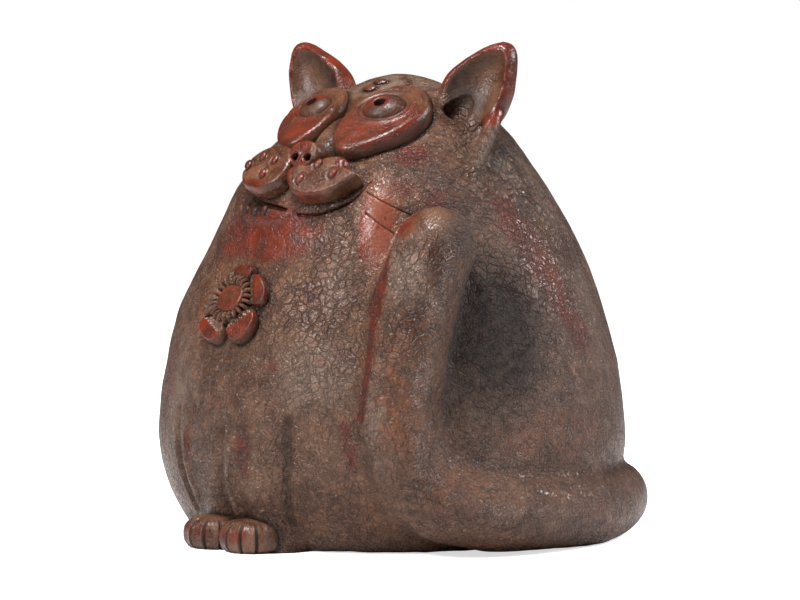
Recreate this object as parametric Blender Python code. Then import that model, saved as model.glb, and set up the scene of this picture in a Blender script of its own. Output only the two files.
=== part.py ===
"""A fired-clay cat figurine: a hollow bell-shaped body, open underneath, with tail, ears, legs, face and flower.

The lumps of clay are pressed onto the body while wet and fuse with it in the kiln, so the cat is one piece.
Metres, +Z up. The cat faces -Y, its left side is +X, and it stands on z = 0 with the origin under its middle.
Angles run round the body from the front, and grow towards the cat's left side.
"""

from math import acos, asin, cos, pi, radians, sin, sqrt

import bmesh
import bpy
from mathutils import Matrix, Vector

# Body: a bell, widest near the floor, with a rounded foot
BODY_HEIGHT = 0.206
BELLY_RADIUS = 0.105
BELLY_HEIGHT = 0.045
FOOT_RADIUS = 0.087
FOOT_ROUND = 0.004
SHOULDER_POWER = 1.75
CROWN_POWER = 0.56

# Hollow
WALL = 0.008
CROWN_WALL = 0.011
FOOT_WALL = 0.013
FOOT_WALL_HEIGHT = 0.022

# Head: turned a little to the cat's left, and leaning back above the shoulders
FACE_TURN = radians(7.5)
HEAD_BACK = 0.0065
HEAD_BEND_BELOW_CROWN = 0.056

# Dip that the eyes sit in
FACE_DIP = 0.0075
FACE_DIP_BELOW_CROWN = 0.0230
FACE_DIP_LENGTH = 0.021
FACE_DIP_SPREAD = radians(75)

# Flat chest
CHEST_DIP = 0.0052
CHEST_DIP_BELOW_CROWN = 0.075
CHEST_DIP_LENGTH = 0.030
CHEST_DIP_SPREAD = radians(120)

# Cheeks: a soft upright ridge on each side of the chest, under the end of the smile
CHEEK_ANGLE = radians(33)
CHEEK_SPREAD = radians(10)
CHEEK_RELIEF = 0.0030
CHEEK_BELOW_CROWN = 0.060
CHEEK_LENGTH = 0.034

# Eyes: a thick egg-shaped pad, narrow end to the nose, with a domed ball and a pierced pupil
EYE_ANGLE = radians(27.5)
EYE_BELOW_CROWN = 0.0225
EYE_FACING = radians(14)
EYE_SLOPE = radians(57)
EYE_PAD_LENGTH = 0.0540
EYE_PAD_WIDTH = 0.0355
EYE_PAD_THICKNESS = 0.0060
EYE_PAD_TURN = radians(23)
EYE_PAD_NARROWING = 0.16
RIGHT_EYE_SHARE = 0.90
EYEBALL_LENGTH = 0.0205
EYEBALL_WIDTH = 0.0180
EYEBALL_RISE = 0.0056
PUPIL_RADIUS = 0.0029
PUPIL_DEPTH = 0.006

# Muzzle: two egg-shaped pads with small oval beads. A bead's place is its share of half the pad's length, both
# across and up the slope
MUZZLE_ANGLE = radians(13)
MUZZLE_TURN = radians(-3)
MUZZLE_BELOW_CROWN = 0.0460
MUZZLE_DROP = 0.0014
MUZZLE_FACING = radians(9)
MUZZLE_LENGTH = 0.0325
MUZZLE_WIDTH = 0.0255
MUZZLE_THICKNESS = 0.0060
MUZZLE_LIFT = 0.0012
MUZZLE_TILT = radians(32)
MUZZLE_NARROWING = 0.12
BEAD_LENGTH = 0.0056
BEAD_WIDTH = 0.0044
BEAD_RISE = 0.0013
LEFT_BEADS = ((-0.39, -0.12), (0.02, 0.37), (0.55, 0.07))
RIGHT_BEADS = ((-0.25, 0.35), (0.31, 0.24), (0.16, -0.23), (-0.61, 0.03))

# Nose: a stubby plug with a flat oval face, on a bridge between the eyes
NOSE_ANGLE = radians(3)
NOSE_BELOW_CROWN = 0.0384
NOSE_SLOPE = radians(22)
NOSE_WIDTH = 0.0155
NOSE_HEIGHT = 0.0136
NOSE_PROUD = 0.0112
NOSTRIL_RADIUS = 0.0018
NOSTRIL_DEPTH = 0.0036
BRIDGE_WIDTH = 0.0140
BRIDGE_LENGTH = 0.030
BRIDGE_RISE = 0.0072

LIP_BELOW_CROWN = 0.0580
LIP_ANGLE = radians(-12)
LIP_WIDTH = 0.034
LIP_HEIGHT = 0.0105
LIP_RISE = 0.0022
TOOTH_LENGTH = 0.0042
TOOTH_ANGLES = (radians(-22), radians(-17), radians(-12), radians(-7))

# Smile: a slit that rises from under each muzzle pad to the cheek, and opens through the edge of the pad
SMILE_WIDTH = 0.0022
SMILE_DEPTH = 0.0034
SMILE_START_ANGLE = radians(3)
SMILE_END_ANGLE = radians(29)
SMILE_LOW_BELOW_CROWN = 0.0600
SMILE_RISE = 0.0150

FOREHEAD_DOT_LENGTH = 0.0075
FOREHEAD_DOT_WIDTH = 0.0052
FOREHEAD_DOT_RISE = 0.0015
FOREHEAD_DOTS = ((radians(8), 0.47), (radians(2), 0.83))

# Ears: cups that open forwards
EAR_ANGLE = radians(88)
EAR_BELOW_CROWN = 0.0160
EAR_WIDTH = 0.0372
EAR_HEIGHT = 0.0460
EAR_DEPTH = 0.0225
EAR_RIM = 0.0042
EAR_LEAN = radians(33)
EAR_NARROWING = 0.42
EAR_BACK_TILT = radians(10)
EAR_TURN = radians(9)
EAR_RAISE = 0.28

# Legs and paws
LEG_SPACING = 0.0280
LEG_OFFSET = 0.0030
LEG_RADIUS = 0.0145
LEG_PROUD = 0.0030
LEG_LOW = 0.008
LEG_REACH = 0.048
LEG_LEAN = radians(7)
PAW_SPACING = 0.0230
PAW_OFFSET = 0.0005
PAW_WIDTH = 0.0290
PAW_LENGTH = 0.0280
PAW_HEIGHT = 0.0150
PAW_PROUD = 0.0065
PAW_FRONT = BELLY_RADIUS + PAW_PROUD
PAW_SPLAY = radians(20)
TOE_COUNT = 4
TOE_SPACING = radians(36)
TOE_WIDTH = 0.0108
TOE_LENGTH = 0.0125

# Flower on the chest: each petal has its direction from the top, and its shares of the reach, length and width
FLOWER_ANGLE = radians(-2.8)
FLOWER_HEIGHT = 0.1078
FLOWER_HEART_LENGTH = 0.0138
FLOWER_HEART_WIDTH = 0.0160
PETAL_REACH = 0.0138
PETAL_LENGTH = 0.0150
PETAL_WIDTH = 0.0136
PETAL_THICKNESS = 0.0042
PETALS = (
    (radians(-5), 1.06, 0.72, 1.02),
    (radians(-66), 1.02, 0.68, 1.08),
    (radians(-131), 1.04, 0.72, 1.22),
    (radians(156), 1.08, 0.76, 1.18),
    (radians(97), 0.98, 0.72, 0.96),
    (radians(46), 0.94, 0.72, 0.96),
)

# Tail: lies round the foot of the body from the back, then stands up at the front left corner
TAIL_RADIUS = 0.0165
TAIL_COLUMN_RADIUS = 0.0182
TAIL_TIP_RADIUS = 0.0178
TAIL_TIP_HEIGHT = 0.1505
TAIL_PROUD = 0.0098

# How finely the curved surfaces are divided
BODY_SIDES = 54
BODY_RINGS = 26
CAVITY_SIDES = 28
CAVITY_RINGS = 10
TAIL_SIDES = 16
TAIL_RINGS = 33
EAR_SIDES = 20
EAR_RINGS = 12
PAD_SIDES = 22
PETAL_SIDES = 12
LUMP_SIDES = 12
DOT_SIDES = 8
SMILE_STEPS = 10
NOSE_SIDES = 18

SHARP_ANGLE = radians(42)
FLOOR_CUT_SIZE = 0.5


def clear_scene():
    for old in list(bpy.data.objects):
        bpy.data.objects.remove(old)


def direction(angle):
    """The level direction out of the body at this angle."""
    return Vector((sin(angle), -cos(angle), 0))


def wrapped(angle):
    """The same angle between minus and plus half a turn."""
    return (angle + pi) % (2 * pi) - pi


def smooth_step(value):
    value = min(1.0, max(0.0, value))
    return value * value * (3 - 2 * value)


def bump(distance):
    """One in the middle, falling smoothly to zero at a distance of one."""
    return 1 - smooth_step(abs(distance))


def bell_radius(height):
    """Radius of the plain bell at a height."""
    if height < BELLY_HEIGHT:
        tuck = (BELLY_HEIGHT - height) / BELLY_HEIGHT
        radius = BELLY_RADIUS - (BELLY_RADIUS - FOOT_RADIUS) * tuck**2
        low = max(0.0, FOOT_ROUND - height) / FOOT_ROUND
        return radius - FOOT_ROUND * (1 - sqrt(max(0.0, 1 - low**2)))
    rise = min(1.0, (height - BELLY_HEIGHT) / (BODY_HEIGHT - BELLY_HEIGHT))
    return BELLY_RADIUS * (1 - rise**SHOULDER_POWER) ** CROWN_POWER


def middle(height):
    """The middle of the body at a height: the head leans back."""
    back = HEAD_BACK * smooth_step((height - BODY_HEIGHT + HEAD_BEND_BELOW_CROWN) / HEAD_BEND_BELOW_CROWN)
    return direction(FACE_TURN) * -back


def relief(angle, height):
    """How far the cheeks stand out of the bell, and the face and chest go into it."""
    turned = wrapped(angle - FACE_TURN)
    below_crown = BODY_HEIGHT - height
    cheek_along = (below_crown - CHEEK_BELOW_CROWN) / CHEEK_LENGTH
    cheek = CHEEK_RELIEF * bump((abs(turned) - CHEEK_ANGLE) / CHEEK_SPREAD) * bump(cheek_along)
    face_along = (below_crown - FACE_DIP_BELOW_CROWN) / FACE_DIP_LENGTH
    face = FACE_DIP * bump(turned / FACE_DIP_SPREAD) * bump(face_along)
    chest_along = (below_crown - CHEST_DIP_BELOW_CROWN) / CHEST_DIP_LENGTH
    chest = CHEST_DIP * bump(turned / CHEST_DIP_SPREAD) * bump(chest_along)
    return cheek - face - chest


def surface_point(angle, height):
    """A point on the body's outside."""
    radius = max(0.0, bell_radius(height) + relief(angle, height))
    return middle(height) + direction(angle) * radius + Vector((0, 0, height))


def surface_normal(angle, height):
    turn, step = radians(2), BODY_HEIGHT / 100
    along = surface_point(angle + turn, height) - surface_point(angle - turn, height)
    up = surface_point(angle, height + step) - surface_point(angle, height - step)
    return along.cross(up).normalized()


def seat(angle, height, facing=None, lift=0.0, slope=None):
    """Frame of a lump pressed on the body: X to the cat's left, Y up the slope, Z outwards.

    The lump lies flat on the body, unless it has its own facing angle or its own slope above the horizon.
    """
    outwards = surface_normal(angle, height)
    if facing is not None:
        tilt = asin(outwards.z) if slope is None else slope
        outwards = direction(facing) * cos(tilt) + Vector((0, 0, sin(tilt)))
    across = Vector((-outwards.y, outwards.x, 0)).normalized()
    uphill = outwards.cross(across)
    place = surface_point(angle, height) + outwards * lift
    turned = Matrix((across, uphill, outwards)).transposed().to_4x4()
    return Matrix.Translation(place) @ turned


def face_seat(angle, below_crown, facing=None, lift=0.0, slope=None):
    """The same, with angles from the middle of the face."""
    facing = None if facing is None else FACE_TURN + facing
    return seat(FACE_TURN + angle, BODY_HEIGHT - below_crown, facing, lift, slope)


def new_group(name):
    group = bpy.data.collections.new(name)
    bpy.context.scene.collection.children.link(group)
    return group


def helper(name, mesh_builder, group, placement=None):
    """A closed mesh that a Boolean joins to the body or cuts from it, and that isn't shown itself."""
    shape = bmesh.new()
    mesh_builder(shape)
    bmesh.ops.recalc_face_normals(shape, faces=shape.faces)
    mesh = bpy.data.meshes.new(name)
    shape.to_mesh(mesh)
    shape.free()
    mesh.shade_smooth()
    made = bpy.data.objects.new(name, mesh)
    made.matrix_world = placement or Matrix.Identity(4)
    made.hide_render = True
    made.display_type = "WIRE"
    group.objects.link(made)
    return made


def loft(shape, rings, end_cap=True):
    """Joins rings of points into a skin, closed at the start and, where asked, at the end."""
    loops = [[shape.verts.new(point) for point in ring] for ring in rings]
    for first, second in zip(loops, loops[1:]):
        count = len(first)
        for i in range(count):
            shape.faces.new((first[i], first[(i + 1) % count], second[(i + 1) % count], second[i]))
    shape.faces.new(reversed(loops[0]))
    if end_cap:
        shape.faces.new(loops[-1])
    return loops


def close_with_point(shape, loop, point):
    """Closes a ring with a fan of triangles to one point."""
    tip = shape.verts.new(point)
    for i in range(len(loop)):
        shape.faces.new((loop[i], loop[(i + 1) % len(loop)], tip))


def bell(shape, sides, heights, point_at, top):
    """A skin of rings at these heights, closed by one top point."""
    rings = [[point_at(2 * pi * k / sides, height) for k in range(sides)] for height in heights]
    loops = loft(shape, rings, end_cap=False)
    close_with_point(shape, loops[-1], top)


def body_skin(shape):
    foot = [0.0, FOOT_ROUND * 0.35, FOOT_ROUND]
    rise = [BODY_HEIGHT * sin(0.5 * pi * i / BODY_RINGS) for i in range(1, BODY_RINGS)]
    heights = foot + [height for height in rise if height > 2 * FOOT_ROUND]
    bell(shape, BODY_SIDES, heights, surface_point, surface_point(0, BODY_HEIGHT))


def cavity_skin(shape):
    """The hollow: the bell, drawn in by the wall, and running out through the floor."""
    top = BODY_HEIGHT - CROWN_WALL
    foot_extra = FOOT_WALL - WALL

    def inside(angle, height):
        outer = height * BODY_HEIGHT / top
        slope = acos(min(1.0, max(0.0, surface_normal(angle, max(outer, BELLY_HEIGHT)).z)))
        thickness = WALL / max(sin(slope), 0.5)
        thickness += foot_extra * max(0.0, 1 - height / FOOT_WALL_HEIGHT) ** 2
        radius = max(bell_radius(max(outer, FOOT_ROUND)) - thickness, WALL)
        return middle(outer) + direction(angle) * radius + Vector((0, 0, height))

    heights = [top * sin(0.5 * pi * i / CAVITY_RINGS) for i in range(CAVITY_RINGS)]
    bell(shape, CAVITY_SIDES, heights, inside, middle(BODY_HEIGHT) + Vector((0, 0, top)))


def pad(shape, length, width, thickness, sides=PAD_SIDES, narrowing=0.0):
    """A flat egg of clay with a rounded rim and a slightly domed face. Its back lies below the seat.

    Its length runs along X, and its narrow end is at -X.
    """
    profile = ((0.88, -1.8), (1.0, 0.05), (0.965, 0.62), (0.86, 0.90), (0.55, 1.06))
    rings = []
    for share, rise in profile:
        ring = []
        for k in range(sides):
            turn = 2 * pi * (k + 0.3) / sides
            narrowed = 1 + narrowing * cos(turn)
            ring.append((share * length / 2 * cos(turn), share * width / 2 * sin(turn) * narrowed, rise * thickness))
        rings.append(ring)
    loops = loft(shape, rings, end_cap=False)
    close_with_point(shape, loops[-1], (0, 0, 1.12 * thickness))


def lump(shape, length, width, height, sides=LUMP_SIDES, rings=None):
    """An egg of clay with these full sizes."""
    bmesh.ops.create_uvsphere(shape, u_segments=sides, v_segments=rings or max(6, sides // 2), radius=0.5)
    bmesh.ops.scale(shape, vec=(length, width, height), verts=shape.verts)


def drill(shape, radius, depth, sides=DOT_SIDES):
    """A slightly conical cutter that goes to a depth below its seat."""
    bmesh.ops.create_cone(
        shape, cap_ends=True, segments=sides, radius1=radius * 0.8, radius2=radius, depth=2 * depth
    )


def eyes(lumps, cutters):
    for sign, name, share in ((1, "left", 1.0), (-1, "right", RIGHT_EYE_SHARE)):
        frame = face_seat(sign * EYE_ANGLE, EYE_BELOW_CROWN, sign * EYE_FACING, slope=EYE_SLOPE)
        long, wide = EYE_PAD_LENGTH * share, EYE_PAD_WIDTH * share
        helper(
            f"eye_pad_{name}",
            lambda shape: pad(shape, long, wide, EYE_PAD_THICKNESS, narrowing=EYE_PAD_NARROWING),
            lumps,
            frame @ Matrix.Rotation(pi / 2 - sign * EYE_PAD_TURN, 4, "Z"),
        )
        ball = frame @ Matrix.Translation((sign * 0.01 * long, 0.11 * long, EYE_PAD_THICKNESS))
        helper(
            f"eyeball_{name}",
            lambda shape: lump(shape, EYEBALL_LENGTH * share, EYEBALL_WIDTH * share, 2 * EYEBALL_RISE, 18, 10),
            lumps,
            ball @ Matrix.Rotation(sign * radians(12), 4, "Z"),
        )
        pupil = ball @ Matrix.Translation((-sign * 0.02 * long, -0.02 * long, EYEBALL_RISE))
        helper(f"pupil_{name}", lambda shape: drill(shape, PUPIL_RADIUS, PUPIL_DEPTH, 12), cutters, pupil)


def muzzle(lumps):
    """The two pads beside the nose, with small beads for whisker roots."""
    for sign, name, beads in ((1, "left", LEFT_BEADS), (-1, "right", RIGHT_BEADS)):
        below = MUZZLE_BELOW_CROWN + sign * MUZZLE_DROP
        frame = face_seat(MUZZLE_TURN + sign * MUZZLE_ANGLE, below, sign * MUZZLE_FACING, MUZZLE_LIFT)
        outer_end = 0 if sign > 0 else pi
        helper(
            f"muzzle_{name}",
            lambda shape: pad(
                shape, MUZZLE_LENGTH, MUZZLE_WIDTH, MUZZLE_THICKNESS, narrowing=-MUZZLE_NARROWING
            ),
            lumps,
            frame @ Matrix.Rotation(outer_end + sign * MUZZLE_TILT, 4, "Z"),
        )
        for i, (across, up) in enumerate(beads):
            spot = (across * MUZZLE_LENGTH / 2, up * MUZZLE_LENGTH / 2, MUZZLE_THICKNESS * 1.02)
            place = frame @ Matrix.Translation(spot)
            helper(
                f"bead_{name}_{i + 1}",
                lambda shape: lump(shape, BEAD_WIDTH, BEAD_LENGTH, 2 * BEAD_RISE, DOT_SIDES + 2),
                lumps,
                place @ Matrix.Rotation(radians(-18 * sign), 4, "Z"),
            )


def nose_shape(shape):
    """A plug with a rounded rim and a flat face, a little wider above. Its root lies in the body."""
    rings = []
    for share, rise in ((1.02, -0.94), (1.0, 0.3), (1.0, 0.72), (0.95, 0.90), (0.84, 0.985)):
        ring = []
        for k in range(NOSE_SIDES):
            turn = 2 * pi * k / NOSE_SIDES
            across = share * NOSE_WIDTH / 2 * cos(turn) * (1 + 0.16 * sin(turn))
            ring.append((across, share * NOSE_HEIGHT / 2 * sin(turn), rise * NOSE_PROUD))
        rings.append(ring)
    loops = loft(shape, rings, end_cap=False)
    close_with_point(shape, loops[-1], (0, 0, NOSE_PROUD * 1.015))


def nose(lumps, cutters):
    frame = face_seat(NOSE_ANGLE, NOSE_BELOW_CROWN, 0, slope=NOSE_SLOPE)
    helper("nose", nose_shape, lumps, frame)
    for sign, name in ((1, "left"), (-1, "right")):
        spot = frame @ Matrix.Translation((sign * NOSE_WIDTH * 0.23, -NOSE_HEIGHT * 0.13, NOSE_PROUD))
        helper(f"nostril_{name}", lambda shape: drill(shape, NOSTRIL_RADIUS, NOSTRIL_DEPTH), cutters, spot)
    bridge = face_seat(NOSE_ANGLE, NOSE_BELOW_CROWN - BRIDGE_LENGTH * 0.34, 0)
    helper("nose_bridge", lambda shape: lump(shape, BRIDGE_WIDTH, BRIDGE_LENGTH, 2 * BRIDGE_RISE), lumps, bridge)


def lower_lip(lumps):
    """A low swelling under the muzzle, with a row of rough teeth."""
    helper(
        "lower_lip",
        lambda shape: lump(shape, LIP_WIDTH, LIP_HEIGHT, 2 * LIP_RISE, 14),
        lumps,
        face_seat(LIP_ANGLE, LIP_BELOW_CROWN),
    )
    for i, angle in enumerate(TOOTH_ANGLES):
        helper(
            f"tooth_{i + 1}",
            lambda shape: lump(shape, TOOTH_LENGTH * 0.8, TOOTH_LENGTH, TOOTH_LENGTH * 0.7, DOT_SIDES),
            lumps,
            face_seat(angle, LIP_BELOW_CROWN + 0.05 * LIP_HEIGHT * (i % 2), lift=LIP_RISE * 0.85),
        )


def smile(cutters):
    """A slit on each side, from the lower edge of the muzzle pad up to the cheek."""
    proud = MUZZLE_LIFT + 1.5 * MUZZLE_THICKNESS
    for sign, name in ((1, "left"), (-1, "right")):
        rings = []
        for i in range(SMILE_STEPS + 1):
            share = i / SMILE_STEPS
            angle = SMILE_START_ANGLE + (SMILE_END_ANGLE - SMILE_START_ANGLE) * share
            below = SMILE_LOW_BELOW_CROWN - SMILE_RISE * share**3 + sign * MUZZLE_DROP * (1 - share)
            frame = face_seat(sign * angle, below)
            size = 0.35 + 0.65 * sin(pi * (0.15 + 0.8 * share))
            wide, deep = size * SMILE_WIDTH, size * SMILE_DEPTH
            section = ((0.9 * wide, proud), (-0.9 * wide, proud), (-0.5 * wide, 0), (0, -deep), (0.5 * wide, 0))
            rings.append([frame @ Vector((0, up, out)) for up, out in section])
        helper(f"smile_{name}", lambda shape: loft(shape, rings), cutters)


def forehead_dots(lumps):
    for i, (angle, below) in enumerate(FOREHEAD_DOTS):
        helper(
            f"forehead_dot_{i + 1}",
            lambda shape: lump(
                shape, FOREHEAD_DOT_LENGTH, FOREHEAD_DOT_WIDTH, 2 * FOREHEAD_DOT_RISE, DOT_SIDES + 2
            ),
            lumps,
            face_seat(angle, below * FOREHEAD_DOT_LENGTH),
        )


def ear_shell(shape, margin):
    """An egg that narrows to a rounded tip, drawn in by a margin all round."""
    lump(shape, EAR_WIDTH - 2 * margin, EAR_DEPTH - 2 * margin, EAR_HEIGHT - 2 * margin, EAR_SIDES, EAR_RINGS)
    for vert in shape.verts:
        rise = vert.co.z / (EAR_HEIGHT / 2 - margin)
        vert.co.x *= 1 - EAR_NARROWING * smooth_step((rise + 0.7) / 1.7)


def ears(lumps, cutters):
    for sign, name in ((1, "left"), (-1, "right")):
        root = surface_point(FACE_TURN + sign * EAR_ANGLE, BODY_HEIGHT - EAR_BELOW_CROWN)
        lean = Matrix.Rotation(sign * EAR_LEAN, 4, "Y") @ Matrix.Rotation(-EAR_BACK_TILT, 4, "X")
        turn = Matrix.Rotation(FACE_TURN + EAR_TURN, 4, "Z") @ lean
        frame = Matrix.Translation(root) @ turn @ Matrix.Translation((0, 0, EAR_HEIGHT * EAR_RAISE))
        helper(f"ear_{name}", lambda shape: ear_shell(shape, 0), lumps, frame)
        hollow = frame @ Matrix.Translation((0, -EAR_DEPTH * 0.36, EAR_HEIGHT * 0.03))
        helper(f"ear_hollow_{name}", lambda shape: ear_shell(shape, EAR_RIM), cutters, hollow)


def legs(lumps):
    """Two front legs, each an upright egg half sunk in the chest, with a paw and toes."""
    for sign, name in ((1, "left"), (-1, "right")):
        across = LEG_OFFSET + sign * LEG_SPACING / 2
        shin = Matrix.Translation((across, LEG_RADIUS - BELLY_RADIUS - LEG_PROUD, LEG_LOW))
        shin = shin @ Matrix.Rotation(-LEG_LEAN, 4, "X")
        helper(
            f"leg_{name}",
            lambda shape: lump(shape, 2 * LEG_RADIUS, 2 * LEG_RADIUS, 2 * LEG_REACH, 18, 13),
            lumps,
            shin,
        )
        paw_across = PAW_OFFSET + sign * PAW_SPACING / 2
        paw = Matrix.Translation((paw_across, PAW_LENGTH / 2 - PAW_FRONT, 0))
        pad_turn = Matrix.Rotation(PAW_SPLAY * 0.4, 4, "Z")
        helper(
            f"paw_{name}",
            lambda shape: lump(shape, PAW_WIDTH * 0.94, PAW_LENGTH * 0.90, 2 * PAW_HEIGHT, 14),
            lumps,
            paw @ pad_turn,
        )
        for i in range(TOE_COUNT):
            angle = PAW_SPLAY + (i - (TOE_COUNT - 1) / 2) * TOE_SPACING
            reach = direction(angle)
            reach.x *= PAW_WIDTH / 2 - TOE_LENGTH * 0.36
            reach.y *= PAW_LENGTH / 2 - TOE_LENGTH * 0.45
            toe = paw @ Matrix.Translation(reach)
            helper(
                f"toe_{name}_{i + 1}",
                lambda shape: lump(shape, TOE_WIDTH, TOE_LENGTH, 2 * PAW_HEIGHT * 0.88),
                lumps,
                toe @ Matrix.Rotation(angle, 4, "Z"),
            )


def flower(lumps):
    frame = seat(FLOWER_ANGLE, FLOWER_HEIGHT)
    helper(
        "flower_heart",
        lambda shape: pad(shape, FLOWER_HEART_WIDTH, FLOWER_HEART_LENGTH, PETAL_THICKNESS, 16),
        lumps,
        frame,
    )
    for i, (turn, reach, length, width) in enumerate(PETALS):
        overlap = PETAL_THICKNESS * (0.12 * (i % 2) + 0.03 * i - 0.22)
        place = frame @ Matrix.Rotation(turn, 4, "Z") @ Matrix.Translation((0, reach * PETAL_REACH, overlap))
        helper(
            f"petal_{i + 1}",
            lambda shape: pad(shape, width * PETAL_WIDTH, length * PETAL_LENGTH, PETAL_THICKNESS, PETAL_SIDES),
            lumps,
            place,
        )


def tail_stations():
    """Centre line and radius of the tail: angle round the body, distance from its middle, height and radius."""
    lying = BELLY_RADIUS + TAIL_PROUD - TAIL_RADIUS
    standing = BELLY_RADIUS + TAIL_PROUD - TAIL_COLUMN_RADIUS
    rest = TAIL_RADIUS * 0.98
    tip = TAIL_TIP_HEIGHT - TAIL_TIP_RADIUS
    climb = tip - rest
    return [
        (radians(205), lying - 1.45 * TAIL_RADIUS, rest + 0.48 * TAIL_RADIUS, TAIL_RADIUS * 0.92),
        (radians(184), lying - 0.67 * TAIL_RADIUS, rest + 0.18 * TAIL_RADIUS, TAIL_RADIUS * 0.98),
        (radians(161), lying - 0.18 * TAIL_RADIUS, rest, TAIL_RADIUS),
        (radians(135), lying, rest, TAIL_RADIUS),
        (radians(110), lying, rest, TAIL_RADIUS),
        (radians(87), lying - 0.06 * TAIL_RADIUS, rest + 0.06 * TAIL_RADIUS, TAIL_RADIUS * 1.03),
        (radians(67), lying - 0.12 * TAIL_RADIUS, rest + 0.24 * TAIL_RADIUS, TAIL_RADIUS * 1.10),
        (radians(52), standing, rest + 0.13 * climb, TAIL_COLUMN_RADIUS * 1.08),
        (radians(47), standing, rest + 0.33 * climb, TAIL_COLUMN_RADIUS * 1.09),
        (radians(48), standing, rest + 0.55 * climb, TAIL_COLUMN_RADIUS),
        (radians(51), standing - 0.11 * TAIL_COLUMN_RADIUS, rest + 0.79 * climb, TAIL_COLUMN_RADIUS * 0.98),
        (radians(57), standing - 0.28 * TAIL_TIP_RADIUS, tip, TAIL_TIP_RADIUS),
    ]


def curve_through(points, share):
    """A point on a smooth curve through these points, all evenly spaced in share."""
    spans = len(points) - 1
    start = min(int(share * spans), spans - 1)
    t = share * spans - start
    before, first, second, after = (points[min(max(start + k, 0), spans)] for k in (-1, 0, 1, 2))
    return [
        0.5 * (2 * b + (c - a) * t + (2 * a - 5 * b + 4 * c - d) * t**2 + (3 * b - a - 3 * c + d) * t**3)
        for a, b, c, d in zip(before, first, second, after)
    ]


def tail_skin(shape):
    stations = []
    for angle, reach, height, radius in tail_stations():
        place = direction(angle) * reach + Vector((0, 0, height))
        stations.append((*place, radius))
    samples = [curve_through(stations, i / TAIL_RINGS) for i in range(TAIL_RINGS + 1)]
    centres = [Vector(sample[:3]) for sample in samples]
    rings = []
    side = Vector((0, 0, 1))
    for i, centre in enumerate(centres):
        along = (centres[min(i + 1, TAIL_RINGS)] - centres[max(i - 1, 0)]).normalized()
        side = (side - along * side.dot(along)).normalized()
        other = along.cross(side)
        radius = samples[i][3]
        rings.append(
            [
                centre + radius * (side * cos(2 * pi * k / TAIL_SIDES) + other * sin(2 * pi * k / TAIL_SIDES))
                for k in range(TAIL_SIDES)
            ]
        )
    last, along, radius = centres[-1], (centres[-1] - centres[-2]).normalized(), samples[-1][3]
    for dome in (0.35, 0.62, 0.84, 0.96):
        shrink = sqrt(1 - dome**2)
        rings.append([last + along * radius * dome + (point - last) * shrink for point in rings[TAIL_RINGS]])
    loops = loft(shape, rings, end_cap=False)
    close_with_point(shape, loops[-1], last + along * radius)


def floor_cut(shape):
    """Everything below the floor, so that the cat stands flat."""
    bmesh.ops.create_cube(shape, size=FLOOR_CUT_SIZE)
    bmesh.ops.translate(shape, vec=(0, 0, -FLOOR_CUT_SIZE / 2), verts=shape.verts)


def clay():
    material = bpy.data.materials.new("fired_clay")
    material.use_nodes = True
    shader = material.node_tree.nodes["Principled BSDF"]
    shader.inputs["Base Color"].default_value = (0.13, 0.085, 0.066, 1)
    shader.inputs["Roughness"].default_value = 0.55
    shader.inputs["Metallic"].default_value = 0.0
    return material


def boolean(target, operation, group):
    modifier = target.modifiers.new(operation.lower(), "BOOLEAN")
    modifier.operation = operation
    modifier.solver = "EXACT"
    modifier.operand_type = "COLLECTION"
    modifier.collection = group


def fuse(figure):
    """Keeps the joined and cut shape as the figurine's own mesh, centred over the origin."""
    bpy.context.view_layer.update()
    graph = bpy.context.evaluated_depsgraph_get()
    mesh = bpy.data.meshes.new_from_object(figure.evaluated_get(graph))
    figure.modifiers.clear()
    xs = [vert.co.x for vert in mesh.vertices]
    ys = [vert.co.y for vert in mesh.vertices]
    offset = Vector((-(min(xs) + max(xs)) / 2, -(min(ys) + max(ys)) / 2, 0))
    mesh.transform(Matrix.Translation(offset))
    mesh.shade_smooth()
    mesh.set_sharp_from_angle(angle=SHARP_ANGLE)
    mesh.name = figure.name
    figure.data = mesh


def cat():
    lumps, cutters = new_group("lumps"), new_group("cutters")
    eyes(lumps, cutters)
    muzzle(lumps)
    nose(lumps, cutters)
    lower_lip(lumps)
    smile(cutters)
    forehead_dots(lumps)
    ears(lumps, cutters)
    legs(lumps)
    flower(lumps)
    helper("tail", tail_skin, lumps)
    helper("cavity", cavity_skin, cutters, Matrix.Translation((0, 0, -FOOT_ROUND / 8)))
    helper("floor_cut", floor_cut, cutters)

    skin = bmesh.new()
    body_skin(skin)
    bmesh.ops.recalc_face_normals(skin, faces=skin.faces)
    mesh = bpy.data.meshes.new("bell")
    skin.to_mesh(mesh)
    skin.free()
    mesh.shade_smooth()
    figure = bpy.data.objects.new("cat_figurine", mesh)
    bpy.context.scene.collection.objects.link(figure)
    figure.data.materials.append(clay())
    boolean(figure, "UNION", lumps)
    boolean(figure, "DIFFERENCE", cutters)
    fuse(figure)


clear_scene()
cat()
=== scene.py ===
"""Dresses the packed clay cat: dense skins, a crackled clay material, a camera and a soft studio.

Lengths are in metres. The shapes are worked out round the body's own axis, then moved to AXIS.
"""

from math import asin, atan2, cos, degrees, pi, radians, sin, sqrt

import bmesh
import bpy
import numpy as np
from mathutils import Matrix, Vector
from mathutils.bvhtree import BVHTree


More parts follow.
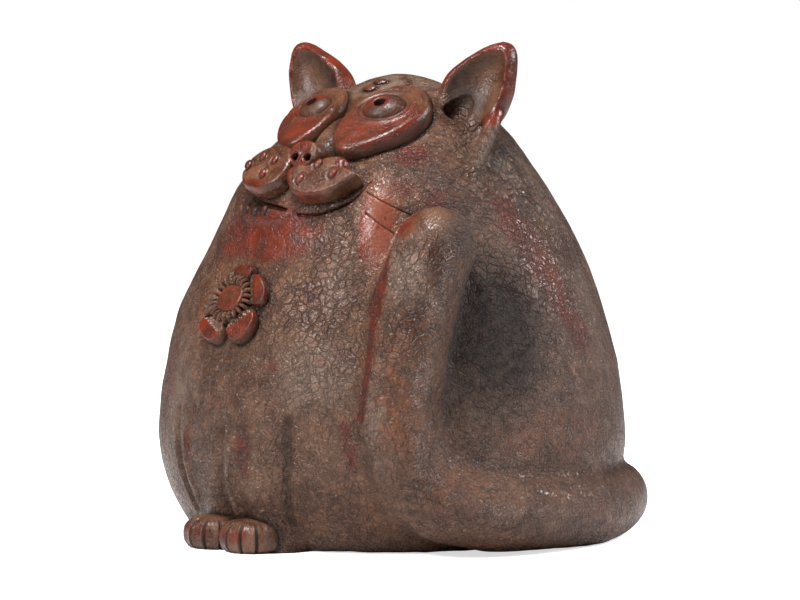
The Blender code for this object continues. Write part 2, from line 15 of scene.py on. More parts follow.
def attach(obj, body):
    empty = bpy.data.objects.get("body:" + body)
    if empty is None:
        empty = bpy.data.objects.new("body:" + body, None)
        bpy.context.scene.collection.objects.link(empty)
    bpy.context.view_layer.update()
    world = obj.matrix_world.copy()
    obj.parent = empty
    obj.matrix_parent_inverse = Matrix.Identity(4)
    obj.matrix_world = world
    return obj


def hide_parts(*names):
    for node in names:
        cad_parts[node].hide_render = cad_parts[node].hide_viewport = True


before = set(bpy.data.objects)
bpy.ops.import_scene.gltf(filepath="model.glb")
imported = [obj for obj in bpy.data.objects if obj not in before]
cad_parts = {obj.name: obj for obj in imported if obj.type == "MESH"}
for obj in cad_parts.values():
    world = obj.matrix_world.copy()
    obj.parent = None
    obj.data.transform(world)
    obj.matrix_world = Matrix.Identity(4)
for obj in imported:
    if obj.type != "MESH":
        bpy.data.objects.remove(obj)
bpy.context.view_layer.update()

# Where the body's axis stands in the row's frame
AXIS = Vector((-0.0044, 0.0015, 0.0))

# The bell
BODY_HEIGHT = 0.206
BELLY_RADIUS = 0.105
BELLY_HEIGHT = 0.045
FOOT_RADIUS = 0.087
FOOT_ROUND = 0.004
WALL = 0.008
CROWN_WALL = 0.011
FOOT_WALL = 0.013
FOOT_WALL_HEIGHT = 0.022

# The head
FACE_TURN = radians(7.5)
HEAD_BACK = 0.0065
HEAD_BEND_HEIGHT = 0.150


def direction(angle):
    return Vector((sin(angle), -cos(angle), 0))


def wrapped(angle):
    return (angle + pi) % (2 * pi) - pi


def smooth_step(value):
    value = min(1.0, max(0.0, value))
    return value * value * (3 - 2 * value)


def bump(distance):
    return 1 - smooth_step(abs(distance))


def bell_radius(height):
    if height < BELLY_HEIGHT:
        tuck = (BELLY_HEIGHT - height) / BELLY_HEIGHT
        radius = BELLY_RADIUS - (BELLY_RADIUS - FOOT_RADIUS) * tuck**2
        low = max(0.0, FOOT_ROUND - height) / FOOT_ROUND
        return radius - FOOT_ROUND * (1 - sqrt(max(0.0, 1 - low**2)))
    rise = min(1.0, (height - BELLY_HEIGHT) / (BODY_HEIGHT - BELLY_HEIGHT))
    return BELLY_RADIUS * (1 - rise**1.75) ** 0.56


def middle(height):
    back = HEAD_BACK * smooth_step((height - HEAD_BEND_HEIGHT) / (BODY_HEIGHT - HEAD_BEND_HEIGHT))
    return direction(FACE_TURN) * -back


def relief(angle, height):
    """Cheeks out of the bell, and the dips of the face and the chest into it."""
    turned = wrapped(angle - FACE_TURN)
    below = BODY_HEIGHT - height
    cheek = 0.0030 * bump((abs(turned) - radians(33)) / radians(10)) * bump((below - 0.060) / 0.034)
    face = 0.0075 * bump(turned / radians(75)) * bump((below - 0.0230) / 0.021)
    chest = 0.0052 * bump(turned / radians(120)) * bump((height - 0.131) / 0.030)
    return cheek - face - chest


def surface_point(angle, height):
    radius = max(0.0, bell_radius(height) + relief(angle, height))
    return middle(height) + direction(angle) * radius + Vector((0, 0, height))


def surface_normal(angle, height):
    turn, step = radians(2), BODY_HEIGHT / 100
    along = surface_point(angle + turn, height) - surface_point(angle - turn, height)
    up = surface_point(angle, height + step) - surface_point(angle, height - step)
    return along.cross(up).normalized()


def seat(angle, height, facing=None, lift=0.0, slope=None):
    """Frame of a lump pressed on the body: X to the cat's left, Y up the slope, Z outwards."""
    outwards = surface_normal(angle, height)
    if facing is not None:
        tilt = asin(outwards.z) if slope is None else slope
        outwards = direction(facing) * cos(tilt) + Vector((0, 0, sin(tilt)))
    across = Vector((-outwards.y, outwards.x, 0)).normalized()
    uphill = outwards.cross(across)
    place = surface_point(angle, height) + outwards * lift
    return Matrix.Translation(place) @ Matrix((across, uphill, outwards)).transposed().to_4x4()


def face_seat(angle, below_crown, facing=None, lift=0.0, slope=None):
    facing = None if facing is None else FACE_TURN + facing
    return seat(FACE_TURN + angle, BODY_HEIGHT - below_crown, facing, lift, slope)


# Noise on arrays of points

def lattice_value(cells, seed):
    """A repeatable value between minus one and one for each whole-number cell."""
    mixed = (cells * np.array((73856093, 19349663, 83492791))).sum(axis=1) + seed * 2654435761
    mixed = (mixed ^ (mixed >> 13)) * 1274126177 & 0x7FFFFFFF
    mixed = (mixed ^ (mixed >> 16)) * 1103515245 & 0x7FFFFFFF
    return mixed / 0x3FFFFFFF - 1.0


def field_noise(points, size, seed):
    """Smooth noise between about minus one and one, with features of this size."""
    scaled = points / size
    base = np.floor(scaled).astype(np.int64)
    part = scaled - base
    part = part * part * (3 - 2 * part)
    total = np.zeros(len(points))
    for i in (0, 1):
        for j in (0, 1):
            for k in (0, 1):
                weight = (part[:, 0] if i else 1 - part[:, 0]) * (part[:, 1] if j else 1 - part[:, 1])
                weight = weight * (part[:, 2] if k else 1 - part[:, 2])
                total += weight * lattice_value(base + (i, j, k), seed)
    return total


def soft(values):
    values = np.clip(values, 0, 1)
    return values * values * (3 - 2 * values)


# Mesh helpers

def ring_loft(shape, rings):
    loops = [[shape.verts.new(point) for point in ring] for ring in rings]
    for first, second in zip(loops, loops[1:]):
        count = len(first)
        for i in range(count):
            shape.faces.new((first[i], first[(i + 1) % count], second[(i + 1) % count], second[i]))
    return loops


def cap(shape, loop, flip=False):
    shape.faces.new(list(reversed(loop)) if flip else loop)


def fan(shape, loop, point):
    tip = shape.verts.new(point)
    for i in range(len(loop)):
        shape.faces.new((loop[i], loop[(i + 1) % len(loop)], tip))


def made(name, builder, placement=None):
    """A mesh object round the body's axis, not yet moved to AXIS."""
    shape = bmesh.new()
    builder(shape)
    bmesh.ops.recalc_face_normals(shape, faces=shape.faces)
    mesh = bpy.data.meshes.new(name)
    shape.to_mesh(mesh)
    shape.free()
    if placement is not None:
        mesh.transform(placement)
    thing = bpy.data.objects.new(name, mesh)
    bpy.context.scene.collection.objects.link(thing)
    return thing


def applied(thing):
    """Turns the object's modifiers into its own mesh."""
    bpy.context.view_layer.update()
    graph = bpy.context.evaluated_depsgraph_get()
    mesh = bpy.data.meshes.new_from_object(thing.evaluated_get(graph))
    thing.modifiers.clear()
    old = thing.data
    thing.data = mesh
    bpy.data.meshes.remove(old)
    mesh.name = thing.name
    return thing


MARKS = {}
PLAIN_MARKS = {"rub": 0.5, "fine": 0.9, "dark": 0.0}


def mark(thing, place, rule):
    """Keeps the colour masks of a lump. The rule works in the lump's own frame, on arrays of x, y and z."""
    turned = np.array(place.inverted())
    local = points_of(thing.data) @ turned[:3, :3].T + turned[:3, 3]
    MARKS[thing.name] = rule(local[:, 0], local[:, 1], local[:, 2])
    return thing


def joined(name, things):
    """One object that holds the meshes of several, and their masks one after another."""
    shape = bmesh.new()
    whole_marks = {key: [] for key in PLAIN_MARKS}
    for thing in things:
        kept = MARKS.pop(thing.name, {})
        for key, plain in PLAIN_MARKS.items():
            whole_marks[key].append(np.broadcast_to(kept.get(key, plain), len(thing.data.vertices)))
        shape.from_mesh(thing.data)
        bpy.data.objects.remove(thing)
    MARKS[name] = {key: np.concatenate(values) for key, values in whole_marks.items()}
    mesh = bpy.data.meshes.new(name)
    shape.to_mesh(mesh)
    shape.free()
    whole = bpy.data.objects.new(name, mesh)
    bpy.context.scene.collection.objects.link(whole)
    return whole


def cut(thing, cutters, solver="EXACT"):
    for cutter in cutters:
        modifier = thing.modifiers.new("cut", "BOOLEAN")
        modifier.operation = "DIFFERENCE"
        modifier.solver = solver
        modifier.object = cutter
    return applied(thing)


def points_of(mesh):
    flat = np.empty(len(mesh.vertices) * 3)
    mesh.vertices.foreach_get("co", flat)
    return flat.reshape(-1, 3)


def normals_of(mesh):
    flat = np.empty(len(mesh.vertices) * 3)
    mesh.vertex_normals.foreach_get("vector", flat)
    return flat.reshape(-1, 3)


def set_points(mesh, points):
    mesh.vertices.foreach_set("co", points.ravel())
    mesh.update()


def paint(mesh, name, values):
    attribute = mesh.attributes.new(name, "FLOAT", "POINT")
    attribute.data.foreach_set("value", np.clip(values, -1, 1).astype(np.float32))


def smooth_curve(points, steps, closed=False):
    """Points on a smooth curve through these ones, evenly spread between each two."""
    count = len(points)
    spans = count if closed else count - 1
    curve = []
    for s in range(spans):
        if closed:
            a, b, c, d = (np.array(points[(s + k) % count], float) for k in (-1, 0, 1, 2))
        else:
            a, b, c, d = (np.array(points[min(max(s + k, 0), count - 1)], float) for k in (-1, 0, 1, 2))
        for i in range(steps):
            t = i / steps
            spot = 2 * b + (c - a) * t + (2 * a - 5 * b + 4 * c - d) * t**2 + (3 * b - a - 3 * c + d) * t**3
            curve.append(tuple(float(x) / 2 for x in spot))
    if not closed:
        curve.append(tuple(float(x) for x in points[-1]))
    return curve


# The body: bell, legs and ears are fused, softened, then hollowed

def bell_builder(shape):
    sides, steps = 150, 90
    heights = [BODY_HEIGHT * sin(0.5 * pi * i / steps) for i in range(steps)]
    heights[1:1] = [FOOT_ROUND * 0.3]
    heights = sorted(set(heights))
    rings = [[surface_point(2 * pi * k / sides, h) for k in range(sides)] for h in heights]
    loops = ring_loft(shape, rings)
    cap(shape, loops[0], flip=True)
    fan(shape, loops[-1], surface_point(0, BODY_HEIGHT))


def egg(shape, length, width, height, sides=40, rings=26):
    bmesh.ops.create_uvsphere(shape, u_segments=sides, v_segments=rings, radius=0.5)
    bmesh.ops.scale(shape, vec=(length, width, height), verts=shape.verts)


EAR_WIDTH = 0.0372
EAR_HEIGHT = 0.0460
EAR_DEPTH = 0.0225
EAR_RIM = 0.0042
EAR_NARROWING = 0.42


def ear_builder(shape, margin):
    egg(shape, EAR_WIDTH - 2 * margin, EAR_DEPTH - 2 * margin, EAR_HEIGHT - 2 * margin, 56, 40)
    for vert in shape.verts:
        rise = vert.co.z / (EAR_HEIGHT / 2 - margin)
        vert.co.x *= 1 - EAR_NARROWING * smooth_step((rise + 0.7) / 1.7)


def ear_frame(sign):
    root = surface_point(FACE_TURN + sign * radians(88), BODY_HEIGHT - 0.0160)
    lean = Matrix.Rotation(sign * radians(33), 4, "Y") @ Matrix.Rotation(-radians(10), 4, "X")
    turn = Matrix.Rotation(FACE_TURN + radians(9), 4, "Z") @ lean
    return Matrix.Translation(root) @ turn @ Matrix.Translation((0, 0, EAR_HEIGHT * 0.28))


def ear(sign):
    shell = made("ear", lambda shape: ear_builder(shape, 0), ear_frame(sign))
    hollow = ear_frame(sign) @ Matrix.Translation((0, -EAR_DEPTH * 0.36, EAR_HEIGHT * 0.03))
    cutter = made("ear_hollow", lambda shape: ear_builder(shape, EAR_RIM), hollow)
    cut(shell, [cutter])
    bpy.data.objects.remove(cutter)
    return shell


def ear_ridge():
    """The outer rim of the left ear runs on down the head and fades there."""
    rim = ear_frame(1) @ Vector((EAR_WIDTH * 0.33, -0.001, -EAR_HEIGHT * 0.12))
    foot = surface_point(FACE_TURN + radians(70), BODY_HEIGHT - 0.043)
    outwards = surface_normal(FACE_TURN + radians(80), 0.175)
    ridge = []
    for i in range(15):
        share = i / 14
        spot = rim.lerp(foot, share) + outwards * 0.0022 * sin(pi * share)
        size = 2 * (0.0048 - 0.0016 * share)
        ridge.append(made("ridge", lambda s: egg(s, size, size, size, 20, 14), Matrix.Translation(spot)))
    return ridge


def ear_pit(sign):
    """The dark bottom of the cup, sunk into the head in front of the ear."""
    spot = surface_point(FACE_TURN + sign * radians(80), BODY_HEIGHT - 0.0175)
    inwards = Matrix.Translation((-sign * 0.002, -0.001, 0.002))
    place = Matrix.Translation(spot) @ ear_frame(sign).to_3x3().to_4x4() @ inwards
    return made("pit", lambda s: egg(s, 0.0120, 0.0125, 0.0250, 36, 26), place)


NOSE_ANGLE = radians(3)
NOSE_BELOW_CROWN = 0.0384
LEG_SPACING = 0.0280
LEG_OFFSET = 0.0030
LEG_RADIUS = 0.0145
LEG_FRONT = 0.1080
LEG_LOW = 0.008
LEG_REACH = 0.048


def leg(sign):
    shin = Matrix.Translation((LEG_OFFSET + sign * LEG_SPACING / 2, LEG_RADIUS - LEG_FRONT, LEG_LOW))
    shin = shin @ Matrix.Rotation(-radians(7), 4, "X")

    def leg_builder(shape):
        """Thinner towards the floor, so that the paws show."""
        egg(shape, 2 * LEG_RADIUS, 2 * LEG_RADIUS, 2 * LEG_REACH)
        for vert in shape.verts:
            low = smooth_step((0.024 - vert.co.z) / 0.020)
            vert.co.y += 0.0085 * low
            vert.co.x *= 1 - 0.12 * low

    return made("leg", leg_builder, shin)


def cavity_builder(shape):
    top = BODY_HEIGHT - CROWN_WALL
    sides, steps = 72, 30

    def inside(angle, height):
        outer = height * BODY_HEIGHT / top
        steep = sqrt(max(0.25, 1 - surface_normal(angle, max(outer, BELLY_HEIGHT)).z ** 2))
        thickness = WALL / steep + (FOOT_WALL - WALL) * max(0.0, 1 - height / FOOT_WALL_HEIGHT) ** 2
        radius = max(bell_radius(max(outer, FOOT_ROUND)) - thickness, WALL)
        return middle(outer) + direction(angle) * radius + Vector((0, 0, height))

    heights = [top * sin(0.5 * pi * i / steps) for i in range(steps)]
    rings = [[inside(2 * pi * k / sides, h) for k in range(sides)] for h in heights]
    rings.insert(0, [point - Vector((0, 0, 0.01)) for point in rings[0]])
    loops = ring_loft(shape, rings)
    cap(shape, loops[0], flip=True)
    fan(shape, loops[-1], middle(BODY_HEIGHT) + Vector((0, 0, top)))


def floor_builder(shape):
    bmesh.ops.create_cube(shape, size=0.5)
    bmesh.ops.translate(shape, vec=(0, 0, -0.25), verts=shape.verts)


def groove_builder(shape, stations):
    """A slit along the skin, by stations: angle from the face, distance below the crown, width, depth."""
    rings = []
    for angle, below, width, depth in stations:
        place = face_seat(angle, below)
        rings.append([place @ Vector((0, width * y, depth * z)) for y, z in GROOVE_SECTION])
    loops = ring_loft(shape, rings)
    cap(shape, loops[0], flip=True)
    cap(shape, loops[-1])


# The slit's cross section, in shares of its width and depth
GROOVE_SECTION = ((0.9, 2.0), (-0.9, 2.0), (-0.5, 0.0), (-0.25, -0.7), (0.0, -1.0), (0.25, -0.7), (0.5, 0.0))

# Lines on the face: degrees from its middle and metres below the crown
SMILE = (
    ((3, 0.0600), (10, 0.0601), (17.5, 0.0574), (24, 0.0533), (30, 0.0450)),
    ((-1, 0.0588), (-8, 0.0574), (-15, 0.0562), (-22, 0.0540)),
)


def smile_stations(line):
    samples = smooth_curve(line, 6)
    stations = []
    for i, (angle, below) in enumerate(samples):
        size = 0.35 + 0.65 * sin(pi * (0.12 + 0.83 * i / (len(samples) - 1)))
        stations.append((radians(angle), below, 0.0024 * size, 0.0036 * size))
    return stations


def skin_gaps(points):
    """For each point: how far outside the tail it is, and how far outside the bell."""
    line = np.array(tail_line(12))
    tail_gap = np.empty(len(points))
    for start in range(0, len(points), 4000):
        part = points[start:start + 4000, None, :] - line[None, :, :3]
        tail_gap[start:start + 4000] = (np.linalg.norm(part, axis=2) - line[None, :, 3]).min(axis=1)
    heights = np.linspace(0, BODY_HEIGHT, 240)
    radii = np.array([bell_radius(h) for h in heights])
    bell_gap = np.hypot(points[:, 0], points[:, 1]) - np.interp(points[:, 2], heights, radii)
    return tail_gap, bell_gap


# The voxel size of the fused skin, and a coarser one. The full size keeps clay_body
# under 200,000 triangles
VOXEL, QUICK_VOXEL = 0.00148, 0.0024


def body():
    """The trunk: everything that was drawn into one skin before the small lumps were pressed on."""
    lumps = [made("bell", bell_builder), ear(1), ear(-1), leg(1), leg(-1), made("tail", tail_builder)]
    lumps += ear_ridge()
    nose_root = face_seat(NOSE_ANGLE, NOSE_BELOW_CROWN - 0.0102)
    lumps.append(made("bridge", lambda s: egg(s, 0.0165, 0.034, 0.0120), nose_root))
    lumps.append(made("lip", lambda s: egg(s, 0.032, 0.0105, 0.0042), face_seat(radians(-12), 0.0606)))
    whole = joined("clay_body", lumps)
    MARKS.pop("clay_body")
    remesh = whole.modifiers.new("fuse", "REMESH")
    remesh.mode = "VOXEL"
    remesh.voxel_size = VOXEL
    soften = whole.modifiers.new("soften", "SMOOTH")
    soften.factor = 0.5
    soften.iterations = 4
    applied(whole)

    mesh = whole.data
    tail_gap, bell_gap = skin_gaps(points_of(mesh))
    seam = soft(1.3 - np.maximum(tail_gap, bell_gap) / 0.0045) * (np.minimum(tail_gap, bell_gap) > -0.004)
    group = whole.vertex_groups.new(name="seam")
    for level in range(1, 9):
        chosen = np.nonzero(np.round(seam * 8) == level)[0]
        group.add([int(i) for i in chosen], level / 8, "REPLACE")
    fillet = whole.modifiers.new("fillet", "SMOOTH")
    fillet.factor = 0.5
    fillet.iterations = 30
    fillet.vertex_group = "seam"
    applied(whole)

    mesh = whole.data
    points, normals = points_of(mesh), normals_of(mesh)
    swell = 0.00050 * field_noise(points, 0.026, 1) + 0.00032 * field_noise(points, 0.011, 2)
    swell += 0.00014 * field_noise(points, 0.0052, 3)
    ridged = np.abs(field_noise(points * (1.0, 1.0, 0.45), 0.0065, 7))
    swell += spots(points, RIDGE_ZONES) * (0.0018 * ridged - 0.0005)
    swell -= 0.0020 * streaks(points, LEG_GROOVES)
    swell += 0.0009 * streaks(points, LEG_EDGES)
    set_points(mesh, points + normals * swell[:, None])
    return whole


TAIL_REACH = 0.1148
TAIL_TOP = 0.1505
TAIL_RADIUS = 0.0165
COLUMN_RADIUS = 0.0182
TIP_RADIUS = 0.0178


def tail_stations():
    """Along the tail: angle round the body, distance from its middle, height and radius."""
    lying, standing, rest = TAIL_REACH - TAIL_RADIUS, TAIL_REACH - COLUMN_RADIUS, TAIL_RADIUS * 0.98
    tip = TAIL_TOP - TIP_RADIUS
    climb = tip - rest
    return [
        (205, lying - 0.024, rest + 0.008, TAIL_RADIUS * 0.92),
        (184, lying - 0.011, rest + 0.003, TAIL_RADIUS * 0.98),
        (161, lying - 0.003, rest, TAIL_RADIUS),
        (135, lying, rest, TAIL_RADIUS),
        (110, lying, rest, TAIL_RADIUS),
        (87, lying - 0.001, rest + 0.001, TAIL_RADIUS * 1.03),
        (67, lying - 0.002, rest + 0.004, TAIL_RADIUS * 1.10),
        (52, standing, rest + 0.13 * climb, COLUMN_RADIUS * 1.08),
        (47, standing, rest + 0.33 * climb, COLUMN_RADIUS * 1.09),
        (48, standing, rest + 0.55 * climb, COLUMN_RADIUS),
        (51, standing - 0.002, rest + 0.79 * climb, COLUMN_RADIUS * 0.98),
        (57, standing - 0.005, tip, TIP_RADIUS),
    ]


def tail_line(steps):
    """Centres and radii along the tail."""
    stations = [(*(direction(radians(a)) * r + Vector((0, 0, h))), w) for a, r, h, w in tail_stations()]
    return smooth_curve(stations, steps)


def tail_builder(shape):
    samples, sides = tail_line(20), 96
    centres = [Vector(sample[:3]) for sample in samples]
    last_index = len(centres) - 1
    rings = []
    side = Vector((0, 0, 1))
    for i, centre in enumerate(centres):
        along = (centres[min(i + 1, last_index)] - centres[max(i - 1, 0)]).normalized()
        side = (side - along * side.dot(along)).normalized()
        other = along.cross(side)
        radius = samples[i][3]
        turns = [2 * pi * k / sides for k in range(sides)]
        rings.append([centre + radius * (side * cos(turn) + other * sin(turn)) for turn in turns])
    last, radius = centres[-1], samples[-1][3]
    along = (centres[-1] - centres[-2]).normalized()
    edge = rings[-1]
    for i in range(1, 20):
        dome = sin(0.5 * pi * i / 20)
        shrink = sqrt(1 - dome**2)
        rings.append([last + along * radius * dome + (point - last) * shrink for point in edge])
    loops = ring_loft(shape, rings)
    cap(shape, loops[0], flip=True)
    fan(shape, loops[-1], last + along * radius)


# Lumps of the face, the flower and the paws

# The rounded rim of a pad, in shares of its outline and thickness
PAD_EDGE = (
    (0.93, -0.9), (0.985, -0.2), (1.0, 0.15), (0.995, 0.45), (0.965, 0.74), (0.915, 0.92), (0.85, 1.0),
)


def pad_builder(shape, outline, thickness, crown=0.06, top=None, edge=PAD_EDGE, steps=16):
    """A pad of clay with a rounded rim. The outline is a ring of points round the middle, in metres."""
    profile = smooth_curve(edge, 4)
    start = edge[-1][0]
    for i in range(1, steps):
        share = start * (1 - i / steps)
        profile.append((share, 1.0 + crown * (1 - (share / start) ** 2)))
    rings = []
    for share, rise in profile:
        ring = []
        for x, y in outline:
            z = rise * thickness
            if top is not None and rise > 0.7:
                z += top(x * share, y * share)
            ring.append((x * share, y * share, z))
        rings.append(ring)
    loops = ring_loft(shape, rings)
    cap(shape, loops[0], flip=True)
    centre = thickness * (1 + crown) + (top(0, 0) if top is not None else 0)
    fan(shape, loops[-1], (0, 0, centre))


def egg_outline(length, width, narrowing, sides=96):
    turns = [2 * pi * k / sides for k in range(sides)]
    return [(length / 2 * cos(t), width / 2 * sin(t) * (1 + narrowing * cos(t))) for t in turns]


EYE_LENGTH, EYE_WIDTH, EYE_THICKNESS = 0.0540, 0.0355, 0.0060
BALL_LENGTH, BALL_WIDTH, BALL_RISE = 0.0205, 0.0180, 0.0056
PUPIL_RADIUS, PUPIL_DEPTH = 0.0029, 0.0052


def eye(sign, share):
    place = face_seat(sign * radians(27.5), 0.0225, sign * radians(14), slope=radians(57))
    long, wide = EYE_LENGTH * share, EYE_WIDTH * share
    turned = place @ Matrix.Rotation(pi / 2 - sign * radians(23), 4, "Z")
    ball_place = place @ Matrix.Translation((sign * 0.01 * long, 0.11 * long, EYE_THICKNESS))
    ball_place = ball_place @ Matrix.Rotation(sign * radians(12), 4, "Z")
    to_ball = ball_place.inverted() @ turned
    half_long, half_wide = BALL_LENGTH * share / 2, BALL_WIDTH * share / 2

    def top(x, y):
        spot = to_ball @ Vector((x, y, EYE_THICKNESS))
        distance = sqrt((spot.x / half_long) ** 2 + (spot.y / half_wide) ** 2)
        groove = -0.0008 * bump((distance - 1.06) / 0.14)
        ring = 0.0006 * bump((distance - 1.32) / 0.24)
        outer = 0.00035 * sin(2 * pi * (distance - 1.05) / 0.34) if distance > 1.4 and x > 0.1 * long else 0.0
        return groove + ring - outer

    def pad_marks(x, y, z):
        side = soft((0.75 * EYE_THICKNESS - z) / (0.35 * EYE_THICKNESS))
        low = soft((-sign * y / (0.5 * wide) - 0.25) / 0.3) * soft((0.55 - x / (0.5 * long)) / 0.3)
        left = soft((0.15 - x / (0.5 * long)) / 0.5)
        across, along = (row[0] * x + row[1] * y + row[3] for row in to_ball[:2])
        rings = np.hypot(across / half_long, along / half_wide)
        outer = soft(1 - np.abs((rings - 1.05) % 0.34 - 0.17) / 0.07)
        groove = np.maximum(soft(1 - np.abs(rings - 1.08) / 0.09), 0.5 * (1 - left) * outer)
        # The grooves round the ball get painted shade.
        return {
            "rub": np.clip(0.30 + 0.55 * np.maximum(low, 0.7 * left) - 0.5 * side, 0, 1),
            "dark": np.clip(0.3 * side + 0.55 * groove * (1 - side), 0, 1),
        }

    outline = egg_outline(long, wide, 0.16)
    pad = made("eye_pad", lambda s: pad_builder(s, outline, EYE_THICKNESS, top=top, steps=34), turned)
    mark(pad, turned, pad_marks)

    def ball_builder(shape):
        middle_x, middle_y = -sign * 0.02 * long, -0.02 * long
        sides = 72
        rings = []

        def height(x, y):
            inside = 1 - (x / half_long) ** 2 - (y / half_wide) ** 2
            return BALL_RISE * sqrt(max(0.0, inside)) - 0.0012

        turns = [2 * pi * k / sides for k in range(sides)]
        rings.append([(half_long * cos(t), half_wide * sin(t), -0.004) for t in turns])
        for i in range(24):
            share_out = (1 - i / 24) ** 0.55
            ring = []
            for t in turns:
                inner_x, inner_y = middle_x + PUPIL_RADIUS * cos(t), middle_y + PUPIL_RADIUS * sin(t)
                x = inner_x + (half_long * cos(t) - inner_x) * share_out
                y = inner_y + (half_wide * sin(t) - inner_y) * share_out
                ring.append((x, y, height(x, y)))
            rings.append(ring)
        brim = height(middle_x, middle_y)
        deep = PUPIL_DEPTH
        for radius, drop in ((0.97, 0.0001), (0.92, 0.0006), (0.88, 0.0015), (0.82, 0.6 * deep), (0.72, deep)):
            ring = []
            for t in turns:
                x, y = middle_x + PUPIL_RADIUS * radius * cos(t), middle_y + PUPIL_RADIUS * radius * sin(t)
                level = height(x, y) if drop < 0.001 else brim
                ring.append((x, y, level - drop))
            rings.append(ring)
        loops = ring_loft(shape, rings)
        cap(shape, loops[0], flip=True)
        fan(shape, loops[-1], (middle_x, middle_y, brim - PUPIL_DEPTH - 0.0003))

    def ball_marks(x, y, z):
        right = soft((x / half_long - 0.15) / 0.5)
        below = soft((-y / half_wide - 0.1) / 0.5)
        inside = np.hypot(x + sign * 0.02 * long, y + 0.02 * long) < PUPIL_RADIUS * 0.93
        shade = np.maximum(right, 0.8 * below)
        # The pupil's hole gets painted shade.
        return {"rub": 1.0 - 0.7 * shade, "dark": np.maximum(0.9 * inside, 0.10 + 0.25 * shade)}

    return [pad, mark(made("eyeball", ball_builder, ball_place), ball_place, ball_marks)]


LEFT_MUZZLE = (
    (-0.0151, 0.0007), (-0.0127, 0.0058), (-0.0056, 0.0081), (0.0029, 0.0105),
    (0.0089, 0.0114), (0.0122, 0.0096), (0.0140, 0.0056), (0.0205, 0.0026),
    (0.0170, -0.0012), (0.0113, -0.0066), (0.0010, -0.0098), (-0.0090, -0.0083),
)
RIGHT_MUZZLE = (
    (0.0120, 0.0095), (0.0055, 0.0128), (-0.0016, 0.0128), (-0.0084, 0.0095),
    (-0.0128, 0.0036), (-0.0126, -0.0040), (-0.0070, -0.0100), (0.0035, -0.0122),
    (0.0105, -0.0100), (0.0148, -0.0050), (0.0152, 0.0030),
)
LEFT_BEADS = ((-0.0063, -0.0019), (0.0003, 0.0060), (0.0090, 0.0012))
RIGHT_BEADS = ((-0.0040, 0.0057), (0.0051, 0.0039), (0.0026, -0.0037), (-0.0100, 0.0005))


def muzzle(sign, control, beads):
    place = face_seat(radians(-3) + sign * radians(13), 0.0460 + sign * 0.0014, sign * radians(9), 0.0012)
    outline = smooth_curve(control, 9, closed=True)

    def top(x, y):
        low = 0.0
        for across, up in beads:
            distance = sqrt(((x - across) / 0.0022) ** 2 + ((y - up) / 0.0028) ** 2)
            low = min(low, -0.0006 * bump((distance - 1.12) / 0.35))
        return low

    def pad_marks(x, y, z):
        left_rim = soft((-x - 0.0095) / 0.004)
        low_rim = soft((-y - 0.0062) / 0.003) * soft((0.008 - x) / 0.006)
        lobe = soft((np.hypot(x - 0.0118, y - 0.0068)) / -0.003 + 1.8) if sign > 0 else 0.0 * x
        side = soft((0.0030 - z) / 0.002)
        # Painted shade in the grooves round the beads.
        ring = np.zeros(len(x))
        for across, up in beads:
            distance = np.hypot((x - across) / 0.0022, (y - up) / 0.0028)
            ring = np.maximum(ring, soft(1 - np.abs(distance - 1.15) / 0.25))
        rub = np.clip(0.30 + 0.6 * np.maximum(left_rim, low_rim) + 0.5 * lobe - 0.5 * side, 0, 1)
        return {"rub": rub, "dark": 0.7 * ring}

    pad = made("muzzle", lambda s: pad_builder(s, outline, 0.0060, crown=0.10, top=top, steps=26), place)
    things = [mark(pad, place, pad_marks)]
    for across, up in beads:
        spot = place @ Matrix.Translation((across, up, 0.0061)) @ Matrix.Rotation(radians(-18 * sign), 4, "Z")
        bead = made("bead", lambda s: egg(s, 0.0040, 0.0054, 0.0028, 24, 14), spot)
        things.append(mark(bead, spot, lambda x, y, z: {"rub": 0.75 + 0 * x}))
    return things


def nose():
    """A stubby plug with a flat oval face and two round nostrils with a raised edge."""
    place = face_seat(NOSE_ANGLE, NOSE_BELOW_CROWN, 0, slope=radians(22))
    width, height, proud, nostril = 0.0158, 0.0138, 0.0112, 0.0019
    turns = [2 * pi * k / 96 for k in range(96)]
    shares = ((1.0, 0.3), (1.0, 0.74), (0.965, 0.90), (0.88, 0.985), (0.76, 1.0))
    edge = ((1.02, -0.010), *((share, rise * proud) for share, rise in shares))

    def builder(shape):
        profile = smooth_curve(edge, 5) + [(0.76 * (1 - i / 24), proud) for i in range(1, 24)]
        rings = []
        for share, z in profile:
            ring = []
            for t in turns:
                x = share * width / 2 * cos(t) * (1 + 0.16 * sin(t))
                y = share * height / 2 * sin(t)
                hole = np.hypot(abs(x) - width * 0.22, y + height * 0.10)
                lift = 0.0
                if z > 0.95 * proud:
                    lift = 0.0007 * bump((hole - nostril - 0.0007) / 0.0011)
                    lift -= 0.0036 * smooth_step((nostril - hole) / 0.0006)
                    lift -= 0.0005 * bump((x - 0.0052) / 0.0008) * bump(y / 0.006)
                ring.append((x, y, z + lift))
            rings.append(ring)
        loops = ring_loft(shape, rings)
        cap(shape, loops[0], flip=True)
        fan(shape, loops[-1], (0, 0, proud))

    def plug_marks(x, y, z):
        front = soft((z - 0.80 * proud) / (0.15 * proud))
        distance = np.hypot(np.abs(x) - width * 0.22, y + height * 0.10)
        # The nostril holes get painted shade.
        hole = soft((nostril + 0.0003 - distance) / 0.0006) * (z < 0.99 * proud)
        rub = 0.10 + 0.9 * front * soft((0.0046 - x) / 0.001)
        return {"rub": rub, "dark": np.maximum(hole * (z > 0.6 * proud), 0.3 * (1 - front) * (x < 0))}

    return [mark(made("nose", builder, place), place, plug_marks)]


def lip():
    """Rough nubs along the lower lip."""
    things = []
    for i, angle in enumerate((-21, -16, -11)):
        spot = face_seat(radians(angle), 0.0592 + 0.0006 * (i % 2), lift=0.0010)
        nub = made("nub", lambda s: egg(s, 0.0040, 0.0046, 0.0034, 20, 12), spot)
        things.append(mark(nub, spot, lambda x, y, z: {"rub": 0.55 + 0 * x, "fine": 0.6 + 0 * x}))
    return things


